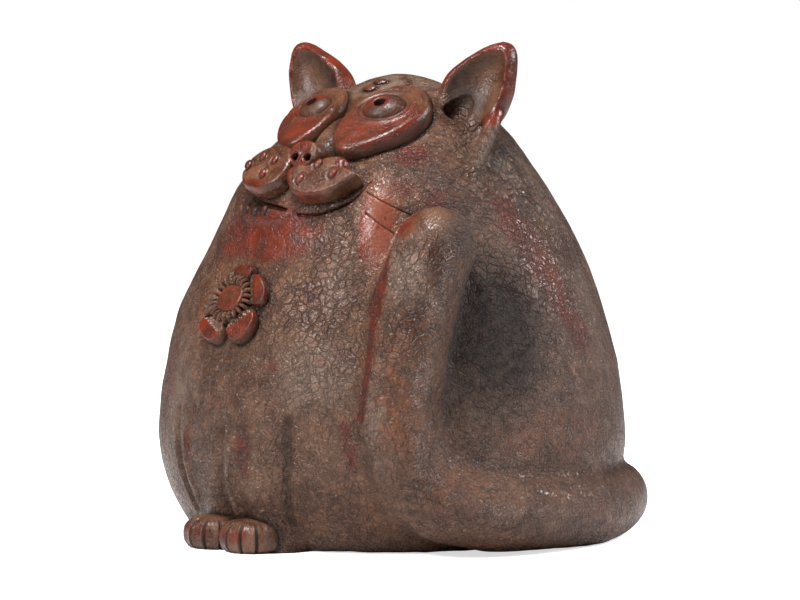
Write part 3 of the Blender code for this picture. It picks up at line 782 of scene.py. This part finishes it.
def forehead_dots():
    things = []
    for angle, below in ((5, 0.0035), (0, 0.0062)):
        spot = face_seat(radians(angle), below)
        things.append(made("dot", lambda s: egg(s, 0.0075, 0.0052, 0.0030, 28, 16), spot))
    return things


HEART = (
    (-0.0081, -0.0006), (-0.0058, 0.0048), (0.0004, 0.0068), (0.0062, 0.0052),
    (0.0082, 0.0006), (0.0056, -0.0048), (-0.0006, -0.0066), (-0.0062, -0.0046),
)
TOP_PETAL = (
    (-0.0063, 0.0138), (-0.0030, 0.0172), (0.0030, 0.0184), (0.0078, 0.0160),
    (0.0062, 0.0118), (0.0010, 0.0096), (-0.0040, 0.0106),
)
SIDE_PETAL = (
    (0.0089, 0.0137), (0.0148, 0.0128), (0.0212, 0.0072), (0.0230, 0.0016),
    (0.0196, -0.0015), (0.0142, -0.0004), (0.0122, 0.0040), (0.0088, 0.0092),
)
LOW_PETAL = (
    (0.0066, -0.0178), (0.0118, -0.0204), (0.0180, -0.0172), (0.0214, -0.0107), (0.0195, -0.0055),
    (0.0152, -0.0031), (0.0105, -0.0058), (0.0060, -0.0100), (0.0044, -0.0140),
)
FAR_PETAL = (
    (-0.0150, -0.0133), (-0.0115, -0.0180), (-0.0045, -0.0215), (0.0004, -0.0196),
    (0.0016, -0.0142), (-0.0018, -0.0103), (-0.0094, -0.0086), (-0.0142, -0.0104),
)


def flower():
    place = seat(radians(-2.8), 0.1078)
    thickness = 0.0038
    ring = smooth_curve(HEART, 10, closed=True)
    heart = made("heart", lambda s: pad_builder(s, ring, thickness, crown=0.12), place)
    things = [mark(heart, place, lambda x, y, z: {"rub": 0.62 - 0.6 * soft((0.003 - z) / 0.002)})]
    for control in (TOP_PETAL, SIDE_PETAL, LOW_PETAL, FAR_PETAL):
        ring = smooth_curve(control, 10, closed=True)
        outline = [(x * (0.86 if x > 0 else 1.05), y * 0.93) for x, y in ring]
        centre_x = sum(x for x, _ in outline) / len(outline)
        centre_y = sum(y for _, y in outline) / len(outline)
        away = sqrt(centre_x**2 + centre_y**2)
        reach_x, reach_y = centre_x / away, centre_y / away
        drop = -away**2 / (2 * 0.095)
        outwards = Vector((centre_x, 0, 0.085)).normalized()
        lean = Vector((0, 0, 1)).rotation_difference(outwards).to_matrix().to_4x4()
        spot = place @ Matrix.Translation((centre_x, centre_y, drop)) @ lean
        local = [(x - centre_x, y - centre_y) for x, y in outline]

        def comb(x, y):
            """A hollow towards the heart, with ridges that run out of it."""
            inner = smooth_step((-0.0002 - (x * reach_x + y * reach_y)) / 0.0022)
            return inner * (0.00050 * sin(2 * pi * (y * reach_x - x * reach_y) / 0.0023) - 0.0011)

        def petal_marks(x, y, z):
            inner = soft((-0.0004 - (x * reach_x + y * reach_y)) / 0.0016)
            side = soft((0.72 * thickness - z) / 0.0012) * (1 - inner)
            return {"rub": 0.95 * (1 - 0.85 * inner) - 0.75 * side, "dark": 0.15 * inner + 0.15 * side}

        petal = made("petal", lambda s: pad_builder(s, local, thickness, 0.03, comb, steps=24), spot)
        things.append(mark(petal, spot, petal_marks))
    for i in range(22):
        turn = 360 * (i + 0.35) / 22 - 90
        left = 100 < (turn + 360) % 360 < 215
        out = 0.0093 if not left else 0.0118
        x, y = out * 1.08 * cos(radians(turn)), out * 0.94 * sin(radians(turn))
        way = Matrix.Rotation(radians(turn - 90 + 6 * sin(5 * i)), 4, "Z")
        lift = thickness * (0.52 if not left else 0.42) - x * x / 0.19
        spot = place @ Matrix.Translation((x, y, lift)) @ way
        length, wide = (0.0052, 0.0019) if not left else (0.0098, 0.0030)
        ridge = made("ridge", lambda s: egg(s, wide, length, 0.0052, 18, 12), spot)
        things.append(mark(ridge, spot, lambda x, y, z: {"rub": 0.08 + 0 * x, "fine": 0.6 + 0 * x}))
    return things


PAW_WIDTH = 0.0290
PAW_LENGTH = 0.0280
PAW_FRONT = 0.1115
PAW_SLITS = (-52, -20, 10, 40)


def paws():
    """Two rounded feet. The toes are only parted by slits."""
    things = []
    for sign in (1, -1):
        place = Matrix.Translation((0.0005 + sign * 0.0115, PAW_LENGTH / 2 - PAW_FRONT, 0))
        place = place @ Matrix.Rotation(radians(14), 4, "Z")

        def paw_builder(shape):
            egg(shape, 2.0, 2.0, 2.0, 200, 90)
            for vert in shape.verts:
                x, y, z = vert.co
                level = max(-1.0, min(1.0, z))
                girth = (1 - abs(level) ** 2.7) ** 0.42 / max(1e-6, sqrt(max(1e-12, 1 - level * level)))
                angle = degrees(atan2(x, -y))
                slit = max(bump((angle - a) / 4.0) for a in PAW_SLITS) if abs(level) < 0.97 else 0.0
                bulge = 0.025 * cos(radians((angle - 10) * 360 / 30)) if -70 < angle < 60 else 0.0
                girth *= 1 + bulge - 0.125 * slit * (1 - smooth_step((level - 0.72) / 0.25))
                vert.co = (x * girth * PAW_WIDTH / 2, y * girth * PAW_LENGTH / 2, 0.0063 + 0.0083 * level)

        def paw_marks(x, y, z):
            angle = np.degrees(np.arctan2(x / PAW_WIDTH, -y / PAW_LENGTH))
            slit = np.zeros(len(x))
            for at in PAW_SLITS:
                slit = np.maximum(slit, soft(1.25 - np.abs(angle - at) / 4.2))
            slit *= (z < 0.0128)
            lit = soft((z - 0.0025) / 0.004) * soft((0.0130 - z) / 0.004)
            lit = lit * soft((50 - np.abs(angle + 24)) / 14)
            # Painted shade in the slits between the toes; one side is also darker.
            shade_and_darkening = np.maximum(0.95 * slit, 0.35 * soft((angle - 45) / 20))
            return {"rub": 0.05 + 0.60 * lit, "dark": shade_and_darkening, "fine": 0.8 + 0 * x}

        things.append(mark(made("paw", paw_builder, place), place, paw_marks))
    return things


# Masks for the colours

def spots(points, zones):
    """How far each point lies in soft oval zones: angle, height, half width, half height, amount."""
    angle = np.arctan2(points[:, 0], -points[:, 1])
    reach = np.hypot(points[:, 0], points[:, 1])
    total = np.zeros(len(points))
    for at, level, wide, tall, amount in zones:
        turned = (angle - radians(at) + pi) % (2 * pi) - pi
        distance = np.hypot(turned * np.maximum(reach, 0.03) / wide, (points[:, 2] - level) / tall)
        total += amount * soft(1.25 - distance)
    return total


def streaks(points, lines):
    """The same for soft streaks: a line of angles and heights, half width, amount."""
    angle = np.arctan2(points[:, 0], -points[:, 1])
    reach = np.maximum(np.hypot(points[:, 0], points[:, 1]), 0.03)
    total = np.zeros(len(points))
    for line, wide, amount in lines:
        nearest = np.full(len(points), 9.0)
        for (a, low), (b, high) in zip(line, line[1:]):
            start = (angle - radians(a) + pi) % (2 * pi) - pi
            across, up = start * reach, points[:, 2] - low
            way_across, way_up = radians(b - a) * reach, high - low
            share = np.clip((across * way_across + up * way_up) / (way_across**2 + way_up**2), 0, 1)
            nearest = np.minimum(nearest, np.hypot(across - share * way_across, up - share * way_up))
        total = np.maximum(total, amount * soft(1.3 - nearest / wide))
    return total


def near(points, tree, reach):
    """One where the points touch the other mesh, falling to zero at this distance."""
    found = np.array([tree.find_nearest(Vector(point), reach)[3] or reach for point in points])
    return soft(1 - found / reach)


def tree_of(things):
    shape = bmesh.new()
    for thing in things:
        shape.from_mesh(thing.data)
    tree = BVHTree.FromBMesh(shape)
    shape.free()
    return tree


# Material

class Graph:
    """A short way to write the node tree of a material or a world."""

    def __init__(self, owner):
        self.owner = owner
        owner.use_nodes = True
        self.tree = owner.node_tree
        self.tree.nodes.clear()

    def node(self, kind, settings=None, **inputs):
        node = self.tree.nodes.new(kind)
        for key, value in (settings or {}).items():
            setattr(node, key, value)
        for key, value in inputs.items():
            self.feed(node, key.replace("_", " "), value)
        return node

    def feed(self, node, key, value):
        socket = node.inputs[int(key)] if key.isdigit() else node.inputs[key]
        if isinstance(value, bpy.types.NodeSocket):
            self.tree.links.new(value, socket)
        else:
            socket.default_value = value

    def math(self, operation, a, b=0.0, c=0.0, clamp=False):
        node = self.tree.nodes.new("ShaderNodeMath")
        node.operation = operation
        node.use_clamp = clamp
        for i, value in enumerate((a, b, c)):
            self.feed(node, str(i), value)
        return node.outputs[0]

    def times(self, a, b, clamp=False):
        return self.math("MULTIPLY", a, b, clamp=clamp)

    def scaled(self, a, b, c, clamp=False):
        """The first value times the second, plus the third."""
        return self.math("MULTIPLY_ADD", a, b, c, clamp)

    def less(self, value):
        """What is missing from one."""
        return self.math("SUBTRACT", 1.0, value, clamp=True)

    def mix(self, factor, a, b):
        node = self.tree.nodes.new("ShaderNodeMix")
        node.data_type = "RGBA"
        self.feed(node, "0", factor)
        self.feed(node, "6", a)
        self.feed(node, "7", b)
        return node.outputs[2]

    def noise(self, size, detail=3.0, vector=None, distortion=0.0):
        node = self.node("ShaderNodeTexNoise", Scale=1 / size, Detail=detail, Distortion=distortion)
        if vector is not None:
            self.feed(node, "Vector", vector)
        return node.outputs["Fac"]

    def ramp(self, value, low, high):
        node = self.tree.nodes.new("ShaderNodeMapRange")
        node.interpolation_type = "SMOOTHSTEP"
        for key, item in (("Value", value), ("From Min", low), ("From Max", high)):
            self.feed(node, key, item)
        return node.outputs["Result"]

    def attribute(self, name):
        return self.node("ShaderNodeAttribute", {"attribute_name": name}).outputs["Fac"]


RED = (0.110, 0.015, 0.005, 1)
RED_DEEP = (0.050, 0.011, 0.006, 1)
GREY = (0.103, 0.046, 0.024, 1)
GREY_PALE = (0.20, 0.112, 0.074, 1)
BROWN = (0.044, 0.014, 0.0060, 1)
# Dark brown of the cracks; the same colour paints shade in creases, holes and grooves.
CRACK_AND_SHADE = (0.006, 0.003, 0.002, 1)
PINK = (0.175, 0.045, 0.026, 1)
WARM = (0.135, 0.045, 0.018, 1)
COOL = (0.140, 0.090, 0.066, 1)


def clay():
    g = Graph(bpy.data.materials.new("crackled_clay"))
    place = g.node("ShaderNodeTexCoord").outputs["Object"]
    names = ("rub", "fine", "dark", "blush_and_sheen", "warm", "crease_shade", "deep", "cool_and_sheen")
    rub, fine, dark, blush_and_sheen, warm, crease_shade, deep, cool_and_sheen = (g.attribute(name) for name in names)

    def shifted(vector, size, amount):
        """The place moved about by noise, so that the net of cracks wanders."""
        noise = g.node("ShaderNodeTexNoise", Scale=1 / size, Detail=2.0, Vector=vector)
        push = g.node("ShaderNodeVectorMath", {"operation": "SCALE"}, Scale=amount)
        g.feed(push, "0", noise.outputs["Color"])
        moved = g.node("ShaderNodeVectorMath", {"operation": "ADD"})
        g.feed(moved, "0", vector)
        g.feed(moved, "1", push.outputs[0])
        return moved.outputs[0]

    bent = shifted(shifted(shifted(place, 0.0100, 0.0060), 0.0028, 0.0022), 0.0011, 0.0007)

    def net(size):
        cells = g.node("ShaderNodeTexVoronoi", {"feature": "DISTANCE_TO_EDGE"}, Scale=1 / size, Vector=bent)
        return cells.outputs["Distance"]

    def lines(field, middle_value, wide):
        """Thin wandering lines, where a noise passes a value."""
        off = g.math("ABSOLUTE", g.math("SUBTRACT", field, middle_value))
        return g.less(g.ramp(off, 0.0, wide))

    coarse, small = net(0.0040), net(0.0019)
    patchy = g.noise(0.014, 4.0, place)
    crackle = g.less(fine)
    width = g.scaled(deep, 0.08, g.scaled(patchy, 0.16, -0.01))
    crack = g.less(g.ramp(coarse, 0.004, width))
    broken = g.ramp(g.noise(0.0045, 3.0, place), 0.40, 0.56)
    hair = g.times(g.less(g.ramp(small, 0.0, 0.15)), broken)
    level = g.node("ShaderNodeSeparateXYZ", Vector=place).outputs["Z"]
    low = g.less(g.ramp(level, 0.045, 0.095))
    wrinkled = g.ramp(g.noise(0.026, 2.0, place), 0.40, 0.60)
    wrinkled = g.math("MAXIMUM", wrinkled, g.times(low, 0.85))
    short_worms = lines(g.noise(0.0026, 2.0, place, 1.5), 0.5, 0.04)
    long_worms = lines(g.noise(0.0041, 2.0, bent, 1.0), 0.46, 0.03)
    worms = g.math("MAXIMUM", short_worms, long_worms)
    worms = g.times(g.times(worms, wrinkled), crackle)
    crack = g.times(crack, g.scaled(wrinkled, -0.65, 1.0))
    cracks = g.math("MAXIMUM", crack, g.times(hair, 0.95))
    cracks = g.times(cracks, crackle, clamp=True)

    patina = g.noise(0.014, 5.0, place, 0.6)
    speck = g.noise(0.0011, 3.0, place)
    grain = g.noise(0.0034, 5.0, place, 0.3)
    blotch = g.scaled(g.math("SUBTRACT", patina, 0.5), 0.9, rub)
    blotch = g.scaled(g.math("SUBTRACT", grain, 0.5), 0.6, blotch)
    blotch = g.scaled(g.math("SUBTRACT", speck, 0.5), 0.3, blotch)
    red_amount = g.ramp(blotch, 0.16, 0.86)

    grey = g.mix(g.ramp(patina, 0.36, 0.64), BROWN, GREY)
    grey = g.mix(g.times(g.ramp(speck, 0.50, 0.80), 0.45), grey, GREY_PALE)
    # Wrinkles painted pale: partly their grey, partly a painted highlight along their ridges.
    grey = g.mix(g.times(worms, 0.85), grey, GREY_PALE)
    # Cool grey, partly the clay's tone and partly painted sheen from the rim light and on the tail.
    grey = g.mix(g.times(cool_and_sheen, g.ramp(patina, 0.30, 0.55)), grey, COOL)
    grey = g.mix(g.times(warm, g.ramp(g.noise(0.007, 4.0, place), 0.25, 0.65)), grey, WARM)
    red = g.mix(g.ramp(g.noise(0.008, 4.0, place), 0.3, 0.7), RED_DEEP, RED)
    colour = g.mix(red_amount, grey, red)
    # Pink, partly the clay's own and partly a painted sheen on the lit cheek ridge.
    colour = g.mix(g.times(blush_and_sheen, g.ramp(speck, 0.2, 0.6)), colour, PINK)
    colour = g.mix(g.times(cracks, g.scaled(deep, 0.22, 0.74)), colour, CRACK_AND_SHADE)
    # Painted shade in the creases where the lumps and the tail meet the body.
    colour = g.mix(g.times(crease_shade, 0.85), colour, CRACK_AND_SHADE)
    darkening_grain = g.scaled(g.ramp(grain, 0.35, 0.62), -0.22, 0.96)
    # This mask is mostly painted shade, in holes, slits, grooves, ear cups and the tail's shadow, with some
    # dark patina.
    colour = g.mix(g.times(dark, darkening_grain), colour, CRACK_AND_SHADE)

    tall = g.ramp(coarse, 0.0, g.scaled(deep, 0.15, 0.13))
    tall = g.times(tall, g.scaled(deep, 0.0006, 0.00042))
    tall = g.times(tall, crackle)
    tall = g.scaled(g.times(g.ramp(small, 0.0, 0.2), crackle), 0.00013, tall)
    tall = g.scaled(worms, 0.00055, tall)
    tall = g.scaled(speck, 0.00015, tall)
    rough = g.times(grain, g.scaled(crackle, 0.8, 0.2))
    tall = g.scaled(rough, 0.00048, tall)
    skin = g.node("ShaderNodeBump", Strength=1.0, Distance=1.0, Height=tall).outputs[0]

    gloss = g.scaled(g.noise(0.004, 3.0, place), 0.30, 0.15)
    gloss = g.scaled(fine, -0.06, gloss)
    gloss = g.scaled(cracks, 0.35, gloss)
    gloss = g.scaled(dark, 0.40, gloss, clamp=True)
    shader = g.node("ShaderNodeBsdfPrincipled", Base_Color=colour, Roughness=gloss, Normal=skin)
    shader.inputs["Specular IOR Level"].default_value = 0.28
    g.node("ShaderNodeOutputMaterial", Surface=shader.outputs[0])
    return g.owner


# Zones on the skin: angle in degrees, height, half width, half height, amount.
# Streaks: a line of angles and heights, half width, amount.
RUB_ZONES = (
    (2, 0.137, 0.032, 0.017, 1.0),
    (-18, 0.134, 0.012, 0.014, 0.7),
    (14, 0.081, 0.005, 0.005, 0.55),
    (27, 0.084, 0.004, 0.003, 0.40),
    (7, 0.046, 0.006, 0.018, 0.75),
    (-14, 0.044, 0.006, 0.012, 0.55),
    (54, 0.171, 0.012, 0.007, 0.85),
    (49, 0.158, 0.006, 0.006, 0.55),
    (62, 0.150, 0.014, 0.014, 0.60),
    (67, 0.084, 0.003, 0.008, 0.60),
    (60, 0.196, 0.014, 0.010, 0.30),
    (200, 0.130, 0.040, 0.030, 0.50),
    (250, 0.080, 0.035, 0.040, 0.45),
    (290, 0.130, 0.030, 0.030, 0.45),
    (330, 0.070, 0.014, 0.030, 0.50),
)
RUB_STREAKS = (
    (((88, 0.146), (93, 0.128), (97, 0.110), (102, 0.094)), 0.0120, 0.66),
    (((37, 0.152), (35.5, 0.140), (36, 0.128)), 0.0026, 0.85),
    (((34, 0.056), (36, 0.040)), 0.0035, 0.65),
)
# Pink, partly the clay's own and partly a painted sheen on the cheek ridge lit from the upper left.
PINK_AND_SHEEN_ZONES = (
    (41, 0.142, 0.010, 0.024, 0.9),
    (14, 0.081, 0.006, 0.004, 0.3),
    (98, 0.120, 0.008, 0.022, 0.35),
)
# Painted shadow of the standing tail on the flank, mixed with dark patina.
SHADOW_AND_PATINA_ZONES = (
    (69, 0.094, 0.030, 0.052, 0.90),
    (82, 0.100, 0.024, 0.036, 0.50),
    (66, 0.154, 0.014, 0.012, 0.30),
)
# Cool grey: the clay's grey in places, and a painted sheen where the rim light catches the right edge and the
# shoulder.
COOL_AND_SHEEN_ZONES = (
    (25, 0.078, 0.022, 0.020, 0.8),
    (-20, 0.070, 0.020, 0.030, 0.6),
    (112, 0.120, 0.012, 0.060, 0.5),
    (30, 0.115, 0.010, 0.020, 0.4),
    (20, 0.203, 0.060, 0.008, 0.9),
    (100, 0.168, 0.026, 0.014, 0.9),
)
WARM_ZONES = (
    (88, 0.050, 0.050, 0.012, 0.9),
    (60, 0.020, 0.060, 0.020, 0.6),
    (-14, 0.100, 0.012, 0.030, 0.7),
    (180, 0.040, 0.100, 0.050, 0.4),
)
FINE_ZONES = (
    (2, 0.137, 0.034, 0.018, 0.70),
    (41, 0.142, 0.013, 0.026, 0.95),
    (20, 0.190, 0.050, 0.024, 0.80),
    (10, 0.164, 0.024, 0.012, 0.60),
    (-22, 0.060, 0.014, 0.040, 0.50),
)
RIDGE_ZONES = (
    (98, 0.160, 0.030, 0.026, 1.0),
    (118, 0.135, 0.030, 0.025, 0.6),
    (250, 0.160, 0.030, 0.026, 1.0),
)
LEG_GROOVES = (
    (((19.5, 0.058), (19.5, 0.046), (18, 0.014)), 0.0028, 1.0),
    (((-0.5, 0.052), (-1.5, 0.014)), 0.0022, 0.6),
    (((-20, 0.060), (-19, 0.040), (-17.5, 0.016)), 0.0026, 0.8),
)
LEG_EDGES = (
    (((2.5, 0.046), (1.0, 0.030), (1.0, 0.014)), 0.0012, 1.0),
    (((-16, 0.060), (-15, 0.040), (-14, 0.018)), 0.0012, 1.0),
)
TAIL_RUB_ZONES = (
    (44, 0.146, 0.014, 0.012, 1.1),
    (61, 0.139, 0.007, 0.003, 0.60),
    (100, 0.020, 0.030, 0.012, 0.30),
    (150, 0.028, 0.050, 0.008, 0.5),
)
TAIL_RUB_STREAKS = (
    (((43.5, 0.140), (42, 0.122), (41, 0.106)), 0.0042, 1.10),
    (((41, 0.106), (39.5, 0.080), (38, 0.060)), 0.0022, 0.95),
)
# On the tail: a painted grey sheen high on the column, and a grey strip lower down.
TAIL_SHEEN_AND_GREY_ZONES = ((48, 0.122, 0.013, 0.016, 0.9), (42, 0.060, 0.007, 0.028, 0.9))
TAIL_WARM_ZONES = ((47, 0.066, 0.013, 0.030, 1.1), (60, 0.030, 0.020, 0.014, 0.8))
# Painted shade down the tail's side away from the key lamp.
TAIL_SHADE_ZONES = ((65, 0.100, 0.009, 0.046, 0.60), (61, 0.140, 0.009, 0.010, 0.50))
TAIL_FINE_ZONES = ((48, 0.146, 0.024, 0.010, 0.9),)


def ear_marks(points):
    """Masks for the ears: red rims, brown cups with painted shade that deepens downwards, smooth all over."""
    rub, fine, dark = np.zeros(len(points)), np.zeros(len(points)), np.zeros(len(points))
    for sign in (1, -1):
        turned = np.array(ear_frame(sign).inverted())
        local = points @ turned[:3, :3].T + turned[:3, 3]
        x, y, z = local[:, 0], local[:, 1], local[:, 2] / (EAR_HEIGHT / 2)
        half = EAR_WIDTH / 2 * (1 - EAR_NARROWING * soft((z + 0.7) / 1.7))
        out = np.hypot(x / half, z)
        close = soft((1.35 - out) / 0.3) * soft((z + 0.95) / 0.75) * (np.abs(y) < EAR_DEPTH)
        cup = soft((0.80 - out) / 0.12) * (y < 0.001)
        low = soft((0.15 - z) / 0.8)
        rub = np.maximum(rub, close * (0.85 * (1 - cup) - 0.35 * (y > 0.003)))
        fine = np.maximum(fine, close * 0.9)
        inner = soft((-sign * local[:, 0] / half - 0.05) / 0.6)
        least = 0.12 if sign > 0 else 0.30
        # Painted shade in the cup, deeper downwards and towards the inner side.
        dark = np.maximum(dark, close * cup * np.clip(least + 0.80 * low + 0.35 * inner, 0, 1))
    return rub, fine, dark


def finish_piece(thing, material, marks, crease_shade):
    mesh = thing.data
    count = len(mesh.vertices)
    for name in ("rub", "fine", "dark", "blush_and_sheen", "warm", "cool_and_sheen", "deep"):
        paint(mesh, name, marks.get(name, np.zeros(count)))
    paint(mesh, "crease_shade", crease_shade)
    mesh.transform(Matrix.Translation(AXIS))
    mesh.shade_smooth()
    mesh.materials.clear()
    mesh.materials.append(material)
    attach(thing, "root")
    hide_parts("cat_figurine")


def trunk_marks(points):
    """Masks for the trunk. On the tail its own zones take over."""
    ear_rub, ear_fine, ear_shade = ear_marks(points)
    tail_gap, bell_gap = skin_gaps(points)
    roll = soft((0.0016 - tail_gap) / 0.0016) * (bell_gap > -0.004)
    skin = 1 - roll
    rub = np.maximum(spots(points, RUB_ZONES), streaks(points, RUB_STREAKS))
    tail_rub = np.maximum(spots(points, TAIL_RUB_ZONES), streaks(points, TAIL_RUB_STREAKS))
    # Painted shadow of the tail mixed with patina, and painted shade in the leg grooves.
    shade_and_darkening = spots(points, SHADOW_AND_PATINA_ZONES) + 0.5 * streaks(points, LEG_GROOVES)
    grey_and_sheen = spots(points, COOL_AND_SHEEN_ZONES) + streaks(points, LEG_EDGES)
    plain = spots(points, FINE_ZONES)
    return {
        "rub": np.maximum(ear_rub, skin * rub + roll * tail_rub),
        "fine": np.maximum(ear_fine, skin * plain + roll * spots(points, TAIL_FINE_ZONES)),
        "dark": np.clip(ear_shade + skin * shade_and_darkening + roll * spots(points, TAIL_SHADE_ZONES), 0, 1),
        "blush_and_sheen": skin * spots(points, PINK_AND_SHEEN_ZONES),
        "warm": skin * spots(points, WARM_ZONES) + roll * spots(points, TAIL_WARM_ZONES),
        "cool_and_sheen": skin * grey_and_sheen + roll * spots(points, TAIL_SHEEN_AND_GREY_ZONES),
        "deep": spots(points, RIDGE_ZONES),
    }


def tail_crease(points):
    """Painted shade where the standing tail meets the body, most of it on the side in shadow."""
    tail_gap, bell_gap = skin_gaps(points)
    angle = np.degrees(np.arctan2(points[:, 0], -points[:, 1]))
    touch = soft(1.2 - np.maximum(tail_gap, bell_gap) / 0.0030) * (np.minimum(tail_gap, bell_gap) > -0.003)
    return touch * soft((points[:, 2] - 0.045) / 0.03) * (0.25 + 0.6 * soft((angle - 48) / 8))


WHISKERS = (
    ((28.5, 0.0500), (37.5, 0.0560), (47.5, 0.0620)),
    ((28.5, 0.0590), (33.0, 0.0630), (38.5, 0.0680)),
)


def whisker_stations(line):
    return [(radians(angle), below, 0.0011, 0.0011) for angle, below in smooth_curve(line, 6)]


def build_cat():
    material = clay()
    trunk = body()
    pads = muzzle(1, LEFT_MUZZLE, LEFT_BEADS) + muzzle(-1, RIGHT_MUZZLE, RIGHT_BEADS)
    face = joined("clay_face", eye(1, 1.0) + eye(-1, 0.90) + pads + nose() + lip() + forehead_dots())
    bloom = joined("clay_flower", flower())
    feet = joined("clay_paws", paws())

    cavity, ground = made("cavity", cavity_builder), made("ground", floor_builder)
    slits = [made("slit", lambda s: groove_builder(s, smile_stations(line))) for line in SMILE]
    slits += [made("whisker", lambda s: groove_builder(s, whisker_stations(line))) for line in WHISKERS]
    slits += [ear_pit(1), ear_pit(-1)]
    cut(trunk, slits + [cavity, ground], "MANIFOLD")
    points = points_of(feet.data)
    points[:, 2] = np.maximum(points[:, 2], 0.0)
    set_points(feet.data, points)
    pit_trees = [tree_of([pit]) for pit in slits[-2:]]
    for helper in slits + [cavity, ground]:
        bpy.data.objects.remove(helper)

    trimmings, skin = tree_of([face, bloom, feet]), tree_of([trunk])
    # The crease mask is painted shade where the lumps press on the body.
    for lumps in (face, bloom, feet):
        finish_piece(lumps, material, MARKS[lumps.name], near(points_of(lumps.data), skin, 0.0016))
    points = points_of(trunk.data)
    marks = trunk_marks(points)
    for tree in pit_trees:
        # Painted shade at the bottom of the ear pits.
        pit = near(points, tree, 0.0014)
        marks["dark"] = np.maximum(marks["dark"], pit)
        marks["rub"] = marks["rub"] * (1 - pit)
    # On the trunk the crease mask is painted shade round the lumps and along the tail's seam.
    finish_piece(trunk, material, marks, np.maximum(near(points, trimmings, 0.0026), tail_crease(points)))


CAMERA_ANGLE = radians(45)
CAMERA_LIFT = radians(3.6)
CAMERA_DISTANCE = 2.0
LAMP_DISTANCE = 0.9


def aimed(name, data, target, azimuth, elevation, distance):
    """A lamp or a camera that looks at the target from this direction."""
    thing = bpy.data.objects.new(name, data)
    bpy.context.scene.collection.objects.link(thing)
    way = Vector((sin(azimuth) * cos(elevation), -cos(azimuth) * cos(elevation), sin(elevation)))
    thing.location = target + way * distance
    thing.rotation_euler = way.to_track_quat("Z", "Y").to_euler()
    return thing


def lamp(name, turn, elevation, size, power, colour=(1, 1, 1)):
    """A round soft lamp. Its turn and elevation are in degrees, the turn counted from the camera."""
    data = bpy.data.lights.new(name, "AREA")
    data.shape = "DISK"
    data.size = size
    data.energy = power
    data.color = colour
    target = AXIS + Vector((0, 0, 0.1))
    aimed(name, data, target, CAMERA_ANGLE + radians(turn), radians(elevation), LAMP_DISTANCE)


def studio():
    g = Graph(bpy.data.worlds.new("studio"))
    bpy.context.scene.world = g.owner
    seen = g.node("ShaderNodeBackground", Color=(1, 1, 1, 1), Strength=1.0)
    ambient = g.node("ShaderNodeBackground", Color=(1, 0.95, 0.90, 1), Strength=0.11)
    mix = g.node("ShaderNodeMixShader")
    camera_ray = g.node("ShaderNodeLightPath").outputs["Is Camera Ray"]
    for i, source in enumerate((camera_ray, ambient.outputs[0], seen.outputs[0])):
        g.feed(mix, str(i), source)
    g.node("ShaderNodeOutputWorld", Surface=mix.outputs[0])

    floor = made("floor", lambda shape: bmesh.ops.create_grid(shape, x_segments=1, y_segments=1, size=3.0))
    g = Graph(bpy.data.materials.new("pale_floor"))
    lit = g.node("ShaderNodeBsdfDiffuse", Color=(0.9, 0.9, 0.9, 1))
    glow = g.node("ShaderNodeEmission", Color=(1, 1, 1, 1))
    spot = g.node("ShaderNodeTexCoord").outputs["Object"]
    away = g.node("ShaderNodeVectorMath", {"operation": "LENGTH"})
    g.feed(away, "0", spot)
    lift = g.scaled(g.ramp(away.outputs["Value"], 0.12, 0.35), 0.35, 0.65)
    g.feed(glow, "Strength", g.times(g.node("ShaderNodeLightPath").outputs["Is Camera Ray"], lift))
    both = g.node("ShaderNodeAddShader")
    g.feed(both, "0", lit.outputs[0])
    g.feed(both, "1", glow.outputs[0])
    g.node("ShaderNodeOutputMaterial", Surface=both.outputs[0])
    floor.data.materials.append(g.owner)

    lamp("key", -48, 32, 0.26, 7.3)
    lamp("top", -20, 72, 0.22, 14.5)
    lamp("rim", 100, 26, 0.26, 7.6, (0.98, 0.98, 1.0))


def camera():
    data = bpy.data.cameras.new("camera")
    data.lens = 200
    data.sensor_width = 36
    data.clip_end = 20
    right = Vector((cos(CAMERA_ANGLE), sin(CAMERA_ANGLE), 0))
    target = AXIS + right * 0.0036 + Vector((0, 0, 0.1045))
    scene = bpy.context.scene
    scene.camera = aimed("camera", data, target, CAMERA_ANGLE, CAMERA_LIFT, CAMERA_DISTANCE)
    scene.view_settings.view_transform = "Standard"


build_cat()
studio()
camera()
